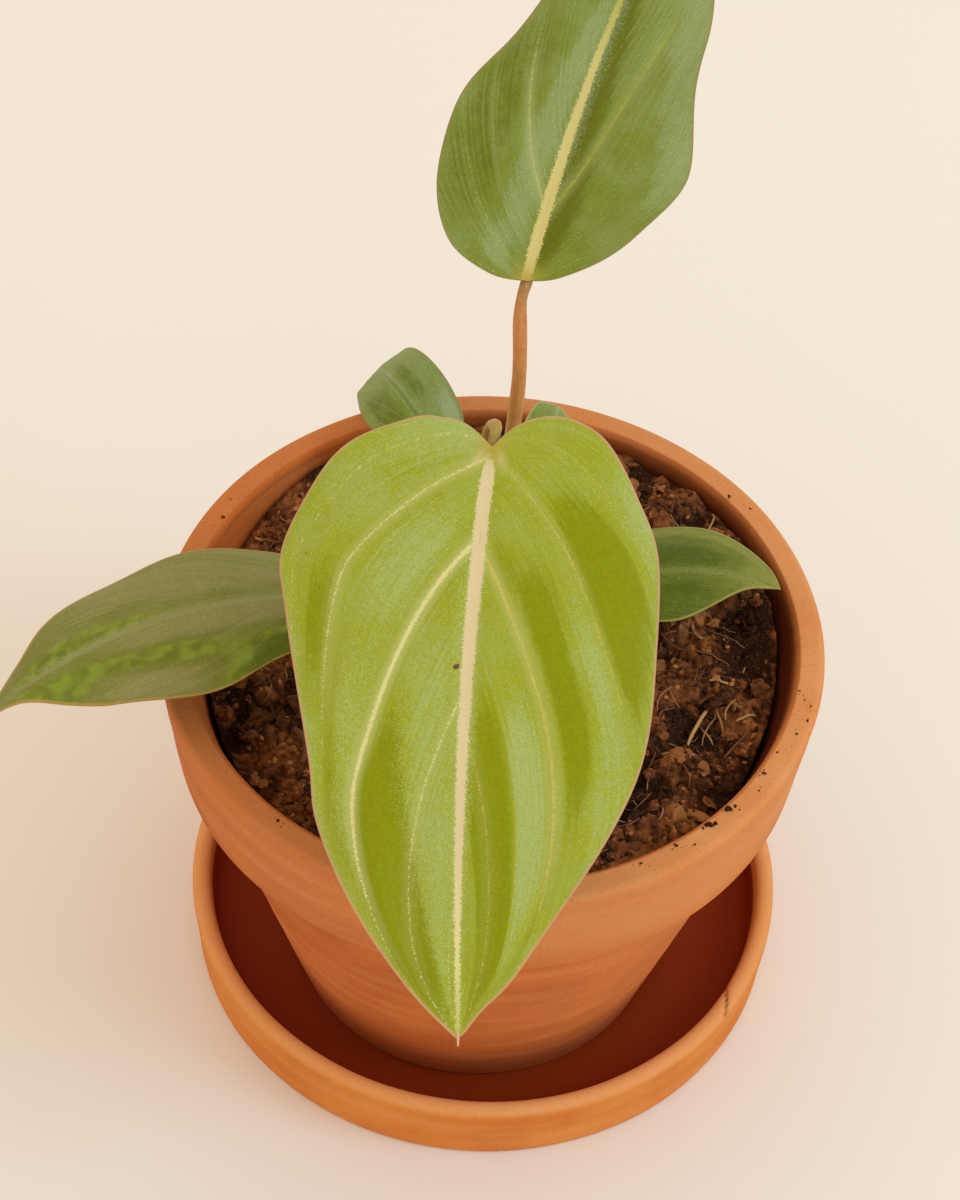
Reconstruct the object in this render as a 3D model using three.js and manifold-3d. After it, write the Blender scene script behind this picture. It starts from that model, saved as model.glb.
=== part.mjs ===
// A young heart-leaf philodendron in a clay pot that stands in its clay saucer.
// Millimetres, +Z up. The origin is under the centre of the saucer, which stands on Z = 0.
// The photographed side faces -Y: the big front leaf hangs towards it.

import * as THREE from 'three';
import { mergeVertices } from 'three/addons/utils/BufferGeometryUtils.js';
import Module from 'manifold-3d';

const wasm = await Module();
wasm.setup();

// Driving dimensions

const GAP = 0.3; // clearance between pieces that touch
const ROUND_SIDES = 56; // facets round the pot, saucer and soil

const SAUCER = {
  rimRadius: 62,
  footRadius: 60.8,
  height: 16.5,
  wall: 3.8,
  floor: 6,
  fillet: 3.5,
  edge: 1,
};

const POT = {
  offset: [-1.4, -7.9], // the pot stands a little off the saucer's centre
  footRadius: 38,
  shoulderRadius: 58,
  collarFoot: 77.4, // height of the collar's lower edge above the ground
  collarFootRadius: 62.1,
  rimRadius: 65,
  rimHeight: 103,
  lip: 5.9,
  lipRound: 1.6,
  innerFootRadius: 33,
  floor: 7.5,
  drainRadius: 8,
  edge: 1.2,
};

const SOIL = {
  level: 92.5,
  mound: 1.8,
  bank: 8, // how much higher the soil lies against the back of the wall
  bankHeading: 80, // degrees from +X, the way in which it rises
  bankFrom: -15,
  bankTo: 45,
  lump: 0.9,
  broad: [0.31, 0.27], // radians per millimetre of the wide lumps, along X and Y
  fine: [0.55, 0.62], // and of the narrow ones
  fineShare: 0.6,
  rings: 11,
};

const RHIZOME = {
  radius: 4.4,
  start: [-18, 4.5, 93.6],
  end: [17, 6, 94.4],
  ringPitch: 4.6, // spacing of the old leaf scars
  ringHeight: 0.45,
  stepsPerRing: 4,
  taper: 7,
  sides: 14,
};

const BLADE = {
  thickness: 0.7,
  ribHeight: 0.9, // midrib under the blade
  ribStart: 0.1, // share of the length that the stalk itself supports
  rowEase: 1.6, // bunches the rows towards the stalk
  sweep: 1.2, // makes the rows run forward towards the margin
  foldRound: 2, // width over which the fold rounds the midrib
  waveFade: 6, // how fast the ripple dies out towards both ends of the margin
  leftPhase: 0.37, // turns by which the left margin's ripple is ahead
};

const STALK = {
  sides: 10,
  footRadius: 1.75,
  topRadius: 1.2,
  endRadius: 0.8,
  kneeBack: 4.5, // how far behind the blade's base the stalk's knee lies
  kneeDrop: 2.6,
  underBlade: 0.07, // share of the blade's length that lies over the stalk
  clear: 0.36, // space between the stalk and the blade above it
  kneeRings: 10,
  ringPitch: 8,
};

// Leaf margins: [along, across], in shares of the blade's length and of its half width.
// Each starts at the notch by the stalk, rounds the lobe and ends at the tip.
const MARGIN = {
  heartRight: [[0.001, 0], [-0.031, 0.14], [-0.041, 0.27], [-0.036, 0.45], [0.02, 0.75], [0.10, 0.93],
    [0.21, 1.045], [0.32, 0.98], [0.54, 0.81], [0.65, 0.75], [0.78, 0.56], [0.91, 0.28], [1, 0]],
  heartLeft: [[0.001, 0], [-0.042, 0.115], [-0.066, 0.27], [-0.062, 0.44], [-0.03, 0.62], [0.05, 0.80],
    [0.17, 0.955], [0.37, 0.99], [0.52, 0.955], [0.64, 0.82], [0.78, 0.56], [0.90, 0.30], [0.955, 0.11],
    [1, 0]],
  upperRight: [[0, 0], [0.022, 0.28], [0.11, 0.76], [0.25, 1.03], [0.43, 0.88], [0.64, 0.76], [0.78, 0.55],
    [0.90, 0.26], [1, 0]],
  upperLeft: [[0, 0], [-0.003, 0.30], [0.035, 0.67], [0.14, 0.92], [0.27, 0.95], [0.40, 0.83], [0.55, 0.62],
    [0.70, 0.42], [0.85, 0.20], [1, 0]],
  leanBack: [[0, 0], [0.015, 0.40], [0.12, 0.83], [0.25, 0.985], [0.42, 1.05], [0.58, 0.91], [0.75, 0.70],
    [0.86, 0.38], [0.94, 0.13], [1, 0]],
  leanFront: [[0, 0], [0.01, 0.28], [0.09, 0.57], [0.20, 0.77], [0.35, 0.95], [0.52, 0.935], [0.67, 0.73],
    [0.78, 0.46], [0.89, 0.14], [1, 0]],
  smallBack: [[0, 0], [0.01, 0.45], [0.12, 0.93], [0.34, 1.13], [0.58, 1.07], [0.80, 0.80], [0.93, 0.42],
    [1, 0]],
  smallFront: [[0, 0], [0.02, 0.36], [0.15, 0.80], [0.33, 0.95], [0.47, 0.90], [0.66, 0.60], [0.83, 0.22],
    [0.93, 0.08], [1, 0]],
  broad: [[0, 0], [0, 0.40], [0.10, 0.83], [0.27, 1], [0.48, 0.98], [0.68, 0.78], [0.84, 0.47], [0.94, 0.17],
    [1, 0]],
};

// One entry for each leaf, from the pot's own axis. base is where the stalk meets the blade.
// heading and pitch are the midrib's direction in degrees, at the base and at the tip.
// roll turns the blade about the midrib, its right half upwards.
// fold lifts the two halves, sag bends them down and wave ripples the margin.
// stalk lists the points that the stalk passes on its way up to the knee.
const LEAVES = [
  {
    name: 'front',
    base: [-2.2, -8, 165.3],
    length: 107.3,
    halfWidth: 34,
    heading: [-95.2, -83.8],
    pitch: [-24, -44],
    roll: [0, 0],
    fold: 0,
    sag: 0.08,
    wave: { height: 1.1, count: 5, phase: 0.2 },
    right: MARGIN.heartRight,
    left: MARGIN.heartLeft,
    rows: 20,
    stalk: [[-4, 4.9, 94], [-4.6, 4.6, 112], [-4.2, 4, 138], [-3, 2.2, 157]],
    colour: 0x8fa944,
  },
  {
    name: 'upper',
    base: [2.1, 22, 178],
    length: 104,
    halfWidth: 23,
    heading: [77, 73],
    pitch: [28, -10],
    roll: [0, 0],
    fold: 0.1,
    sag: 0,
    wave: { height: 1.6, count: 3.5, phase: 0.55 },
    right: MARGIN.upperRight,
    left: MARGIN.upperLeft,
    rows: 18,
    stalk: [[1, 5.1, 94], [0.4, 5.4, 116], [0.8, 7.2, 140], [2, 12.6, 161]],
    colour: 0x6f8a3f,
  },
  {
    name: 'left',
    base: [-28.5, -6, 118.4],
    length: 75.2,
    halfWidth: 17,
    heading: [190.7, 211.9],
    pitch: [14, -34],
    roll: [0, 0],
    fold: -0.2,
    sag: 0.08,
    wave: { height: 0.7, count: 3, phase: 0.1 },
    right: MARGIN.leanBack,
    left: MARGIN.leanFront,
    rows: 15,
    stalk: [[-13, 4.7, 94], [-14.5, 4.2, 101], [-18.5, 1, 109.5]],
    colour: 0x6a8048,
  },
  {
    name: 'right',
    base: [18.6, 10, 106.4],
    length: 38.8,
    halfWidth: 12,
    heading: [14.9, -5.2],
    pitch: [24, -24],
    roll: [0, 0],
    fold: -0.1,
    sag: 0.08,
    wave: { height: 0.4, count: 2.5, phase: 0.3 },
    right: MARGIN.smallFront,
    left: MARGIN.smallBack,
    rows: 12,
    stalk: [[11, 5.6, 94], [12.3, 6.8, 99.4]],
    colour: 0x5c7a36,
  },
  {
    name: 'back_left',
    base: [-11.7, 35.5, 114.3],
    length: 47,
    halfWidth: 8.9,
    heading: [131, 97.5],
    pitch: [32, -80],
    roll: [17, 46],
    fold: -0.05,
    sag: 0.05,
    wave: { height: 0.4, count: 2.5, phase: 0.8 },
    right: MARGIN.broad,
    left: MARGIN.broad,
    rows: 14,
    stalk: [[-8.5, 5, 94], [-9.3, 13, 99.8], [-9.9, 24.5, 104.2]],
    colour: 0x55752f,
  },
  {
    name: 'back_right',
    base: [9.8, 30, 110.5],
    length: 32,
    halfWidth: 6.2,
    heading: [92, 84],
    pitch: [28, -46],
    roll: [-28, -28],
    fold: -0.1,
    sag: 0.05,
    wave: { height: 0.3, count: 2, phase: 0.4 },
    right: MARGIN.leanBack,
    left: MARGIN.leanBack,
    rows: 12,
    stalk: [[6, 5.3, 94], [7, 8, 101.5], [8.4, 17, 107]],
    colour: 0x8ea763,
  },
];

// Materials

function material(colour, roughness) {
  return new THREE.MeshStandardMaterial({ color: colour, roughness, metalness: 0 });
}

// Closed bodies

function solidOf(geometry) {
  const bare = geometry.clone();
  bare.deleteAttribute('normal');
  bare.deleteAttribute('uv');
  const merged = mergeVertices(bare, 1e-3);
  return new wasm.Manifold(new wasm.Mesh({
    numProp: 3,
    vertProperties: new Float32Array(merged.attributes.position.array),
    triVerts: new Uint32Array(merged.index.array),
  }));
}

function geometryOf(solid) {
  const mesh = solid.getMesh();
  const geometry = new THREE.BufferGeometry();
  geometry.setAttribute('position', new THREE.BufferAttribute(mesh.vertProperties, 3));
  geometry.setIndex(new THREE.BufferAttribute(mesh.triVerts, 1));
  geometry.computeVertexNormals();
  return geometry;
}

function geometryFrom(points, triangles) {
  const geometry = new THREE.BufferGeometry();
  geometry.setAttribute('position', new THREE.Float32BufferAttribute(points.flatMap((p) => p.toArray()), 3));
  geometry.setIndex(triangles.flat());
  geometry.computeVertexNormals();
  return geometry;
}

// Turns a profile of [radius, height] pairs about Z.
function turned(profile) {
  const points = profile.map(([radius, height]) => new THREE.Vector2(radius, height));
  return new THREE.LatheGeometry(points, ROUND_SIDES).rotateX(Math.PI / 2);
}

// A quarter round from angle a to angle b (degrees) about [cx, cz].
function arc(cx, cz, radius, a, b, steps = 3) {
  return Array.from({ length: steps + 1 }, (_, i) => {
    const angle = THREE.MathUtils.degToRad(a + ((b - a) * i) / steps);
    return [cx + radius * Math.cos(angle), cz + radius * Math.sin(angle)];
  });
}

// Saucer

function saucerGeometry() {
  const { rimRadius, footRadius, height, wall, floor, fillet, edge } = SAUCER;
  const lip = wall / 2;
  const innerFoot = footRadius - wall;
  return turned([
    [0, 0],
    [footRadius - edge, 0],
    [footRadius, edge],
    ...arc(rimRadius - lip, height - lip, lip, 0, 180, 6),
    ...arc(innerFoot - fillet, floor + fillet, fillet, 0, -90),
    [0, floor],
  ]);
}

// Pot

const POT_STANDS_AT = SAUCER.floor;
const POT_FLOOR_TOP = POT_STANDS_AT + POT.floor;

// Radius of the pot's inner wall at a height.
function potInside(z) {
  const top = POT.rimRadius - POT.lip;
  const share = (z - POT_FLOOR_TOP) / (POT.rimHeight - POT_FLOOR_TOP);
  return POT.innerFootRadius + (top - POT.innerFootRadius) * share;
}

function potGeometry() {
  const { footRadius, shoulderRadius, collarFoot, collarFootRadius, edge } = POT;
  const { rimRadius, rimHeight, lipRound } = POT;
  const outerLip = rimRadius - lipRound;
  const innerLip = rimRadius - POT.lip + lipRound;
  const underLip = rimHeight - lipRound;
  return turned([
    [POT.drainRadius, POT_STANDS_AT],
    [footRadius - edge, POT_STANDS_AT],
    [footRadius, POT_STANDS_AT + edge],
    [shoulderRadius, collarFoot],
    [collarFootRadius - edge, collarFoot],
    [collarFootRadius, collarFoot + edge],
    ...arc(outerLip, underLip, lipRound, 0, 90),
    ...arc(innerLip, underLip, lipRound, 90, 180),
    [potInside(collarFoot), collarFoot],
    [potInside(POT_FLOOR_TOP), POT_FLOOR_TOP],
    [POT.drainRadius, POT_FLOOR_TOP],
    [POT.drainRadius, POT_STANDS_AT],
  ]);
}

// Soil

function soilBank(x, y) {
  const heading = THREE.MathUtils.degToRad(SOIL.bankHeading);
  const along = x * Math.cos(heading) + y * Math.sin(heading);
  return SOIL.bank * THREE.MathUtils.smoothstep(along, SOIL.bankFrom, SOIL.bankTo);
}

// How far the soil reaches from the pot's axis: its lowest lumps stay clear of the wall.
function soilReach(angle) {
  const wall = potInside(SOIL.level);
  const bank = soilBank(wall * Math.cos(angle), wall * Math.sin(angle));
  return potInside(SOIL.level + bank - 2 * SOIL.lump) - GAP;
}

// Height of the soil at a point, and the share of its reach at which the point lies.
function soilHeight(x, y, share) {
  const mound = SOIL.mound * (1 - share * share);
  const broad = Math.sin(x * SOIL.broad[0] + 1) * Math.cos(y * SOIL.broad[1]);
  const fine = Math.sin(x * SOIL.fine[0] - y * SOIL.fine[1]);
  return SOIL.level + soilBank(x, y) + mound + SOIL.lump * (broad + SOIL.fineShare * fine);
}

function soilGeometry() {
  const foot = potInside(POT_FLOOR_TOP) - GAP;
  const points = [new THREE.Vector3(0, 0, soilHeight(0, 0, 0))];
  const triangles = [];
  const ring = (radiusAt, heightAt) => {
    for (let k = 0; k < ROUND_SIDES; k += 1) {
      const angle = (2 * Math.PI * k) / ROUND_SIDES;
      const x = radiusAt(angle) * Math.cos(angle);
      const y = radiusAt(angle) * Math.sin(angle);
      points.push(new THREE.Vector3(x, y, heightAt(x, y)));
    }
  };
  for (let i = 1; i <= SOIL.rings; i += 1) {
    const share = i / SOIL.rings;
    ring((angle) => soilReach(angle) * share, (x, y) => soilHeight(x, y, share));
  }
  ring(() => foot, () => POT_FLOOR_TOP + GAP);
  points.push(new THREE.Vector3(0, 0, POT_FLOOR_TOP + GAP));
  const last = points.length - 1;
  for (let k = 0; k < ROUND_SIDES; k += 1) {
    const next = (k + 1) % ROUND_SIDES;
    triangles.push([0, 1 + k, 1 + next]);
    for (let i = 0; i < SOIL.rings; i += 1) {
      const a = 1 + i * ROUND_SIDES;
      const b = a + ROUND_SIDES;
      triangles.push([a + k, b + k, b + next], [a + k, b + next, a + next]);
    }
    const foundation = 1 + SOIL.rings * ROUND_SIDES;
    triangles.push([last, foundation + next, foundation + k]);
  }
  return geometryFrom(points, triangles);
}

// Rhizome: the creeping stem, half sunk in the soil, ringed by old leaf scars and blunt at both ends.
// grow swells it, for cutting its bed and the stalks' seats.
function rhizomeGeometry(grow) {
  const start = new THREE.Vector3(...RHIZOME.start);
  const axis = new THREE.Vector3(...RHIZOME.end).sub(start);
  const length = axis.length();
  const steps = Math.round((RHIZOME.stepsPerRing * length) / RHIZOME.ringPitch);
  const profile = [new THREE.Vector2(0, -grow)];
  for (let i = 1; i < steps; i += 1) {
    const at = (length * i) / steps;
    const fromEnd = Math.min(at, length - at);
    const blunt = fromEnd < RHIZOME.taper ? Math.sqrt(1 - (1 - fromEnd / RHIZOME.taper) ** 2) : 1;
    const ringed = RHIZOME.ringHeight * Math.max(0, Math.cos((2 * Math.PI * at) / RHIZOME.ringPitch));
    profile.push(new THREE.Vector2((RHIZOME.radius + ringed) * blunt + grow, at));
  }
  profile.push(new THREE.Vector2(0, length + grow));
  const geometry = new THREE.LatheGeometry(profile, RHIZOME.sides);
  const turn = new THREE.Quaternion().setFromUnitVectors(new THREE.Vector3(0, 1, 0), axis.normalize());
  return geometry.applyQuaternion(turn).translate(start.x, start.y, start.z);
}

// Leaf blades

const STATIONS = 48;

function direction(heading, pitch) {
  return new THREE.Vector3(
    Math.cos(pitch) * Math.cos(heading),
    Math.cos(pitch) * Math.sin(heading),
    Math.sin(pitch),
  );
}

// The midrib: a point and three axes at each station.
// along runs to the tip, side to the right and up out of the face.
function midribOf(leaf) {
  const angle = (key, share) => (
    THREE.MathUtils.degToRad(THREE.MathUtils.lerp(leaf[key][0], leaf[key][1], share)));
  const heading = (share) => angle('heading', share);
  const pitch = (share) => angle('pitch', share);
  const at = new THREE.Vector3(...leaf.base);
  const stations = [];
  for (let i = 0; i <= STATIONS; i += 1) {
    const share = i / STATIONS;
    const along = direction(heading(share), pitch(share));
    const level = new THREE.Vector3(Math.sin(heading(share)), -Math.cos(heading(share)), 0);
    const side = level.applyAxisAngle(along, -angle('roll', share));
    const up = new THREE.Vector3().crossVectors(side, along);
    stations.push({ at: at.clone(), along, side, up });
    const half = share + 0.5 / STATIONS;
    at.addScaledVector(direction(heading(half), pitch(half)), leaf.length / STATIONS);
  }
  return stations;
}

// A station between two, by share of the length. The lobes behind the base lie straight on.
function stationAt(leaf, stations, share) {
  const inside = THREE.MathUtils.clamp(share, 0, 1) * STATIONS;
  const low = Math.min(Math.floor(inside), STATIONS - 1);
  const part = inside - low;
  const mix = (key) => stations[low][key].clone().lerp(stations[low + 1][key], part);
  const station = { at: mix('at'), along: mix('along'), side: mix('side'), up: mix('up') };
  station.at.addScaledVector(station.along, (share - inside / STATIONS) * leaf.length);
  return station;
}

// The blade's middle surface. across is in millimetres, edge runs from 0 at the midrib to 1 at the margin.
function bladePoint(leaf, stations, share, across, edge, row) {
  const station = stationAt(leaf, stations, share);
  const { count, phase, height } = leaf.wave;
  const turns = count * row + phase + (across < 0 ? BLADE.leftPhase : 0);
  const ends = Math.min(1, BLADE.waveFade * row * (1 - row));
  const ripple = height * edge ** 3 * ends * Math.sin(2 * Math.PI * turns);
  const soft = Math.hypot(across, BLADE.foldRound) - BLADE.foldRound;
  const lift = leaf.fold * soft - (leaf.sag * across * across) / leaf.halfWidth + ripple;
  return station.at.addScaledVector(station.side, across).addScaledVector(station.up, lift);
}

// The outward normal, from two short steps over the surface.
function bladeNormal(leaf, stations, share, across, edge, row) {
  const step = 0.2;
  const here = bladePoint(leaf, stations, share, across, edge, row);
  const ahead = bladePoint(leaf, stations, share + step / leaf.length, across, edge, row).sub(here);
  const right = bladePoint(leaf, stations, share, across + step, edge, row).sub(here);
  return right.cross(ahead).normalize();
}

const COLUMNS = [0, 0.05, 0.3, 0.58, 0.82, 1];

function bladeGeometry(leaf) {
  const stations = midribOf(leaf);
  const sides = { right: 1, left: -1 };
  const curves = {};
  for (const side of Object.keys(sides)) {
    curves[side] = new THREE.SplineCurve(leaf[side].map(([along, across]) => (
      new THREE.Vector2(along * leaf.length, across * leaf.halfWidth))));
  }
  const notch = leaf.right[0][0];
  const upper = [];
  const lower = [];
  const place = (share, across, edge, row, rib) => {
    const normal = bladeNormal(leaf, stations, share, across, edge, row);
    const middle = bladePoint(leaf, stations, share, across, edge, row);
    upper.push(middle.clone().addScaledVector(normal, BLADE.thickness / 2));
    lower.push(middle.clone().addScaledVector(normal, -BLADE.thickness / 2 - rib));
  };
  place(notch, 0, 0, 0, 0);
  for (let i = 1; i < leaf.rows; i += 1) {
    const row = i / leaf.rows;
    const middle = notch + (1 - notch) * row ** BLADE.rowEase;
    const rib = middle > BLADE.ribStart ? BLADE.ribHeight * (1 - middle) : 0;
    const column = (side, edge) => {
      const margin = curves[side].getPointAt(row);
      const share = middle + (margin.x / leaf.length - middle) * edge ** BLADE.sweep;
      place(share, sides[side] * margin.y * edge, edge, row, edge === 0 ? rib : 0);
    };
    COLUMNS.slice(1).reverse().forEach((edge) => column('left', edge));
    COLUMNS.forEach((edge) => column('right', edge));
  }
  place(1, 0, 0, 1, 0);

  const across = 2 * COLUMNS.length - 1;
  const index = (row, column) => 1 + (row - 1) * across + column;
  const tip = upper.length - 1;
  const face = [];
  for (let column = 0; column < across - 1; column += 1) {
    face.push([0, index(1, column + 1), index(1, column)]);
    face.push([tip, index(leaf.rows - 1, column), index(leaf.rows - 1, column + 1)]);
    for (let row = 1; row < leaf.rows - 1; row += 1) {
      const a = index(row, column);
      const b = index(row, column + 1);
      const c = index(row + 1, column + 1);
      const d = index(row + 1, column);
      face.push([a, b, c], [a, c, d]);
    }
  }
  const rows = Array.from({ length: leaf.rows - 1 }, (_, i) => i + 1);
  const rim = [0, ...rows.map((row) => index(row, across - 1)), tip,
    ...rows.reverse().map((row) => index(row, 0))];
  const under = (k) => k + upper.length;
  const triangles = [...face, ...face.map(([a, b, c]) => [under(a), under(c), under(b)])];
  rim.forEach((a, k) => {
    const b = rim[(k + 1) % rim.length];
    triangles.push([b, a, under(a)], [b, under(a), under(b)]);
  });
  return geometryFrom([...upper, ...lower], triangles);
}

// Leaf stalks

// A round tube through points, with a radius at each share of its length, closed at both ends.
function tube(points, radiusAt, rings) {
  const curve = new THREE.CatmullRomCurve3(points, false, 'catmullrom');
  const frames = curve.computeFrenetFrames(rings, false);
  const vertices = [];
  const triangles = [];
  for (let i = 0; i <= rings; i += 1) {
    const centre = curve.getPointAt(i / rings);
    for (let k = 0; k < STALK.sides; k += 1) {
      const angle = (2 * Math.PI * k) / STALK.sides;
      vertices.push(centre.clone()
        .addScaledVector(frames.normals[i], radiusAt(i / rings) * Math.cos(angle))
        .addScaledVector(frames.binormals[i], radiusAt(i / rings) * Math.sin(angle)));
    }
  }
  vertices.push(curve.getPointAt(0), curve.getPointAt(1));
  const top = rings * STALK.sides;
  for (let k = 0; k < STALK.sides; k += 1) {
    const next = (k + 1) % STALK.sides;
    for (let i = 0; i < rings; i += 1) {
      const a = i * STALK.sides;
      const b = a + STALK.sides;
      triangles.push([a + k, a + next, b + next], [a + k, b + next, b + k]);
    }
    triangles.push([vertices.length - 2, next, k]);
    triangles.push([vertices.length - 1, top + k, top + next]);
  }
  return geometryFrom(vertices, triangles);
}

// The stalk rises from the rhizome, turns over in a knee behind the blade's base
// and runs out under the midrib. Grow swells it, for cutting its hole in the soil.
function stalkSolid(leaf, grow) {
  const stations = midribOf(leaf);
  const below = (share, back, drop) => {
    const station = stationAt(leaf, stations, share);
    return station.at.addScaledVector(station.along, -back).addScaledVector(station.up, -drop);
  };
  const skin = BLADE.thickness / 2 + STALK.clear;
  const points = leaf.stalk.map((p) => new THREE.Vector3(...p));
  points.push(below(0, STALK.kneeBack, STALK.kneeDrop));
  points.push(below(0, -1, skin + STALK.topRadius));
  points.push(below(STALK.underBlade, 0, skin + STALK.endRadius));
  const length = new THREE.CatmullRomCurve3(points, false, 'catmullrom').getLength();
  const blade = (STALK.underBlade * leaf.length) / length;
  const radiusAt = (share) => {
    const stem = Math.min(1, share / (1 - blade));
    const end = Math.max(0, (share - 1 + blade) / blade);
    return STALK.footRadius + (STALK.topRadius - STALK.footRadius) * stem
      + (STALK.endRadius - STALK.topRadius) * end + grow;
  };
  const rings = Math.round(STALK.kneeRings + length / STALK.ringPitch);
  return solidOf(tube(points, radiusAt, rings));
}

// Assembly

const plant = new THREE.Group();
plant.position.set(POT.offset[0], POT.offset[1], 0);

function add(group, name, geometry, finish) {
  const mesh = new THREE.Mesh(geometry, finish);
  mesh.name = name;
  group.add(mesh);
}

const part = new THREE.Group();
const seat = solidOf(rhizomeGeometry(GAP));
let bed = solidOf(soilGeometry()).subtract(seat);
for (const leaf of LEAVES) bed = bed.subtract(stalkSolid(leaf, GAP));
add(part, 'saucer', saucerGeometry(), material(0xc8733c, 0.85));
add(plant, 'pot', potGeometry(), material(0xcf7a45, 0.85));
add(plant, 'soil', geometryOf(bed), material(0x3a2317, 1));
add(plant, 'rhizome', rhizomeGeometry(0), material(0x8a7a48, 0.7));
for (const leaf of LEAVES) {
  const stalk = stalkSolid(leaf, 0).subtract(seat);
  add(plant, `stalk_${leaf.name}`, geometryOf(stalk), material(0xb4703a, 0.5));
  add(plant, `leaf_${leaf.name}`, bladeGeometry(leaf), material(leaf.colour, 0.55));
}
part.add(plant);

export default part;
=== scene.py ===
"""Looks of a young heart-leaf philodendron in a clay pot that stands in its saucer.

The tables hold millimetres and degrees in the part's own frame, and MM turns them into metres.
Leaves, stalks, pot, saucer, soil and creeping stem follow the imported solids, with finer relief.
"""

import math
from types import SimpleNamespace as Form

import bmesh
import bpy
import numpy as np
from mathutils import Matrix, Vector, noise


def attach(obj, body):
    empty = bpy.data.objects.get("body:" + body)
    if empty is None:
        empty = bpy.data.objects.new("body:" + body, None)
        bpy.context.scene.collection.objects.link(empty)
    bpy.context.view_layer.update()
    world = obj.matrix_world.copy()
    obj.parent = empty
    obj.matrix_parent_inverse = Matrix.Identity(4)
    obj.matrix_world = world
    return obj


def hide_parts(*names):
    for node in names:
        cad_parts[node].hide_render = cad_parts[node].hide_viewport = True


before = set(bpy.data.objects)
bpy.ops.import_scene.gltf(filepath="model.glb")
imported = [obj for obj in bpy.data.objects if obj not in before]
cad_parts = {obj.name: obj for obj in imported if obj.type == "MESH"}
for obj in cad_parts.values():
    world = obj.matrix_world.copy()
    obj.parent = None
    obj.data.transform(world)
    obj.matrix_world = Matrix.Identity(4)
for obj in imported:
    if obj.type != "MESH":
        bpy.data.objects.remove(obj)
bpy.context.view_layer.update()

MM = 0.001
BODY = "root"

# Forms shared with the solids. pitch, rings and sides say how finely each is meshed here.

SAUCER = Form(rim=62, foot=60.8, height=16.5, wall=3.8, floor=6, fillet=3.5, edge=1, pitch=1.1, sides=300)
POT = Form(centre=(-1.4, -7.9), foot=38, shoulder=58, collar_foot=77.4, collar_radius=62.1, rim=65, top=103,
           lip=5.9, lip_round=1.6, inner_foot=33, drain=8, edge=1.2, stands_at=6, floor_top=13.5,
           pitch=0.95, sides=280)
POT_AXIS = np.array([*POT.centre, 0])
SOIL = Form(level=92.5, mound=1.8, bank=8, bank_heading=80, bank_rise=(-15, 45), lump=0.9, gap=0.3,
            rings=96, sides=460)
RHIZOME = Form(radius=4.4, start=(-18, 4.5, 93.6), end=(17, 6, 94.4), scar_pitch=4.6, scar=0.45, taper=7,
               rings=130, sides=40)
STALK = Form(foot=1.75, top=1.2, end=0.8, knee_back=4.5, knee_drop=2.6, under=0.07, pitch=0.9, sides=24)
SHEET = Form(half=0.30, margin=0.13, rib_height=0.9, rib_start=0.1, rib_spread=1.1)

MARGIN = {
    "heart_right": [(0.001, 0), (-0.031, 0.14), (-0.041, 0.27), (-0.036, 0.45), (0.02, 0.75), (0.1, 0.93),
                    (0.21, 1.045), (0.32, 0.98), (0.54, 0.81), (0.65, 0.75), (0.78, 0.56), (0.91, 0.28),
                    (0.99, 0.045), (1, 0)],
    "heart_left": [(0.001, 0), (-0.042, 0.115), (-0.066, 0.27), (-0.062, 0.44), (-0.03, 0.62), (0.05, 0.8),
                   (0.17, 0.955), (0.37, 0.99), (0.52, 0.955), (0.64, 0.82), (0.78, 0.56), (0.9, 0.3),
                   (0.955, 0.13), (0.99, 0.04), (1, 0)],
    "upper_right": [(0, 0), (0.022, 0.28), (0.11, 0.76), (0.25, 1.03), (0.43, 0.88), (0.64, 0.76),
                    (0.78, 0.55), (0.9, 0.26), (1, 0)],
    "upper_left": [(0, 0), (-0.003, 0.3), (0.035, 0.67), (0.14, 0.92), (0.27, 0.95), (0.4, 0.83),
                   (0.55, 0.62), (0.7, 0.42), (0.85, 0.2), (1, 0)],
    "lean_back": [(0, 0), (0.015, 0.4), (0.12, 0.83), (0.25, 0.985), (0.42, 1.05), (0.58, 0.91),
                  (0.75, 0.7), (0.86, 0.38), (0.94, 0.13), (1, 0)],
    "lean_front": [(0, 0), (0.01, 0.28), (0.09, 0.57), (0.2, 0.77), (0.35, 0.95), (0.52, 0.935),
                   (0.67, 0.73), (0.78, 0.46), (0.89, 0.14), (1, 0)],
    "small_back": [(0, 0), (0.01, 0.45), (0.12, 0.93), (0.34, 1.13), (0.58, 1.07), (0.8, 0.8),
                   (0.93, 0.42), (1, 0)],
    "small_front": [(0, 0), (0.02, 0.36), (0.15, 0.8), (0.33, 0.95), (0.47, 0.9), (0.66, 0.6),
                    (0.83, 0.22), (0.93, 0.08), (1, 0)],
    "broad": [(0, 0), (0, 0.4), (0.1, 0.83), (0.27, 1), (0.48, 0.98), (0.68, 0.78), (0.84, 0.47),
              (0.94, 0.17), (1, 0)],
}

# Veins of one half of a blade. A vein keeps the same flow: its row less slope times its edge.
# flows lists the main veins, strengths how bold each is, and fade where each dies out.
PLAIN_VEINS = Form(flows=(0.06, 0.28, 0.5, 0.72), strengths=(0.08, 0.14, 0.12, 0.06), slope=0.45, steep=0.8,
                   fade=(0.7, 1.0))

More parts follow.
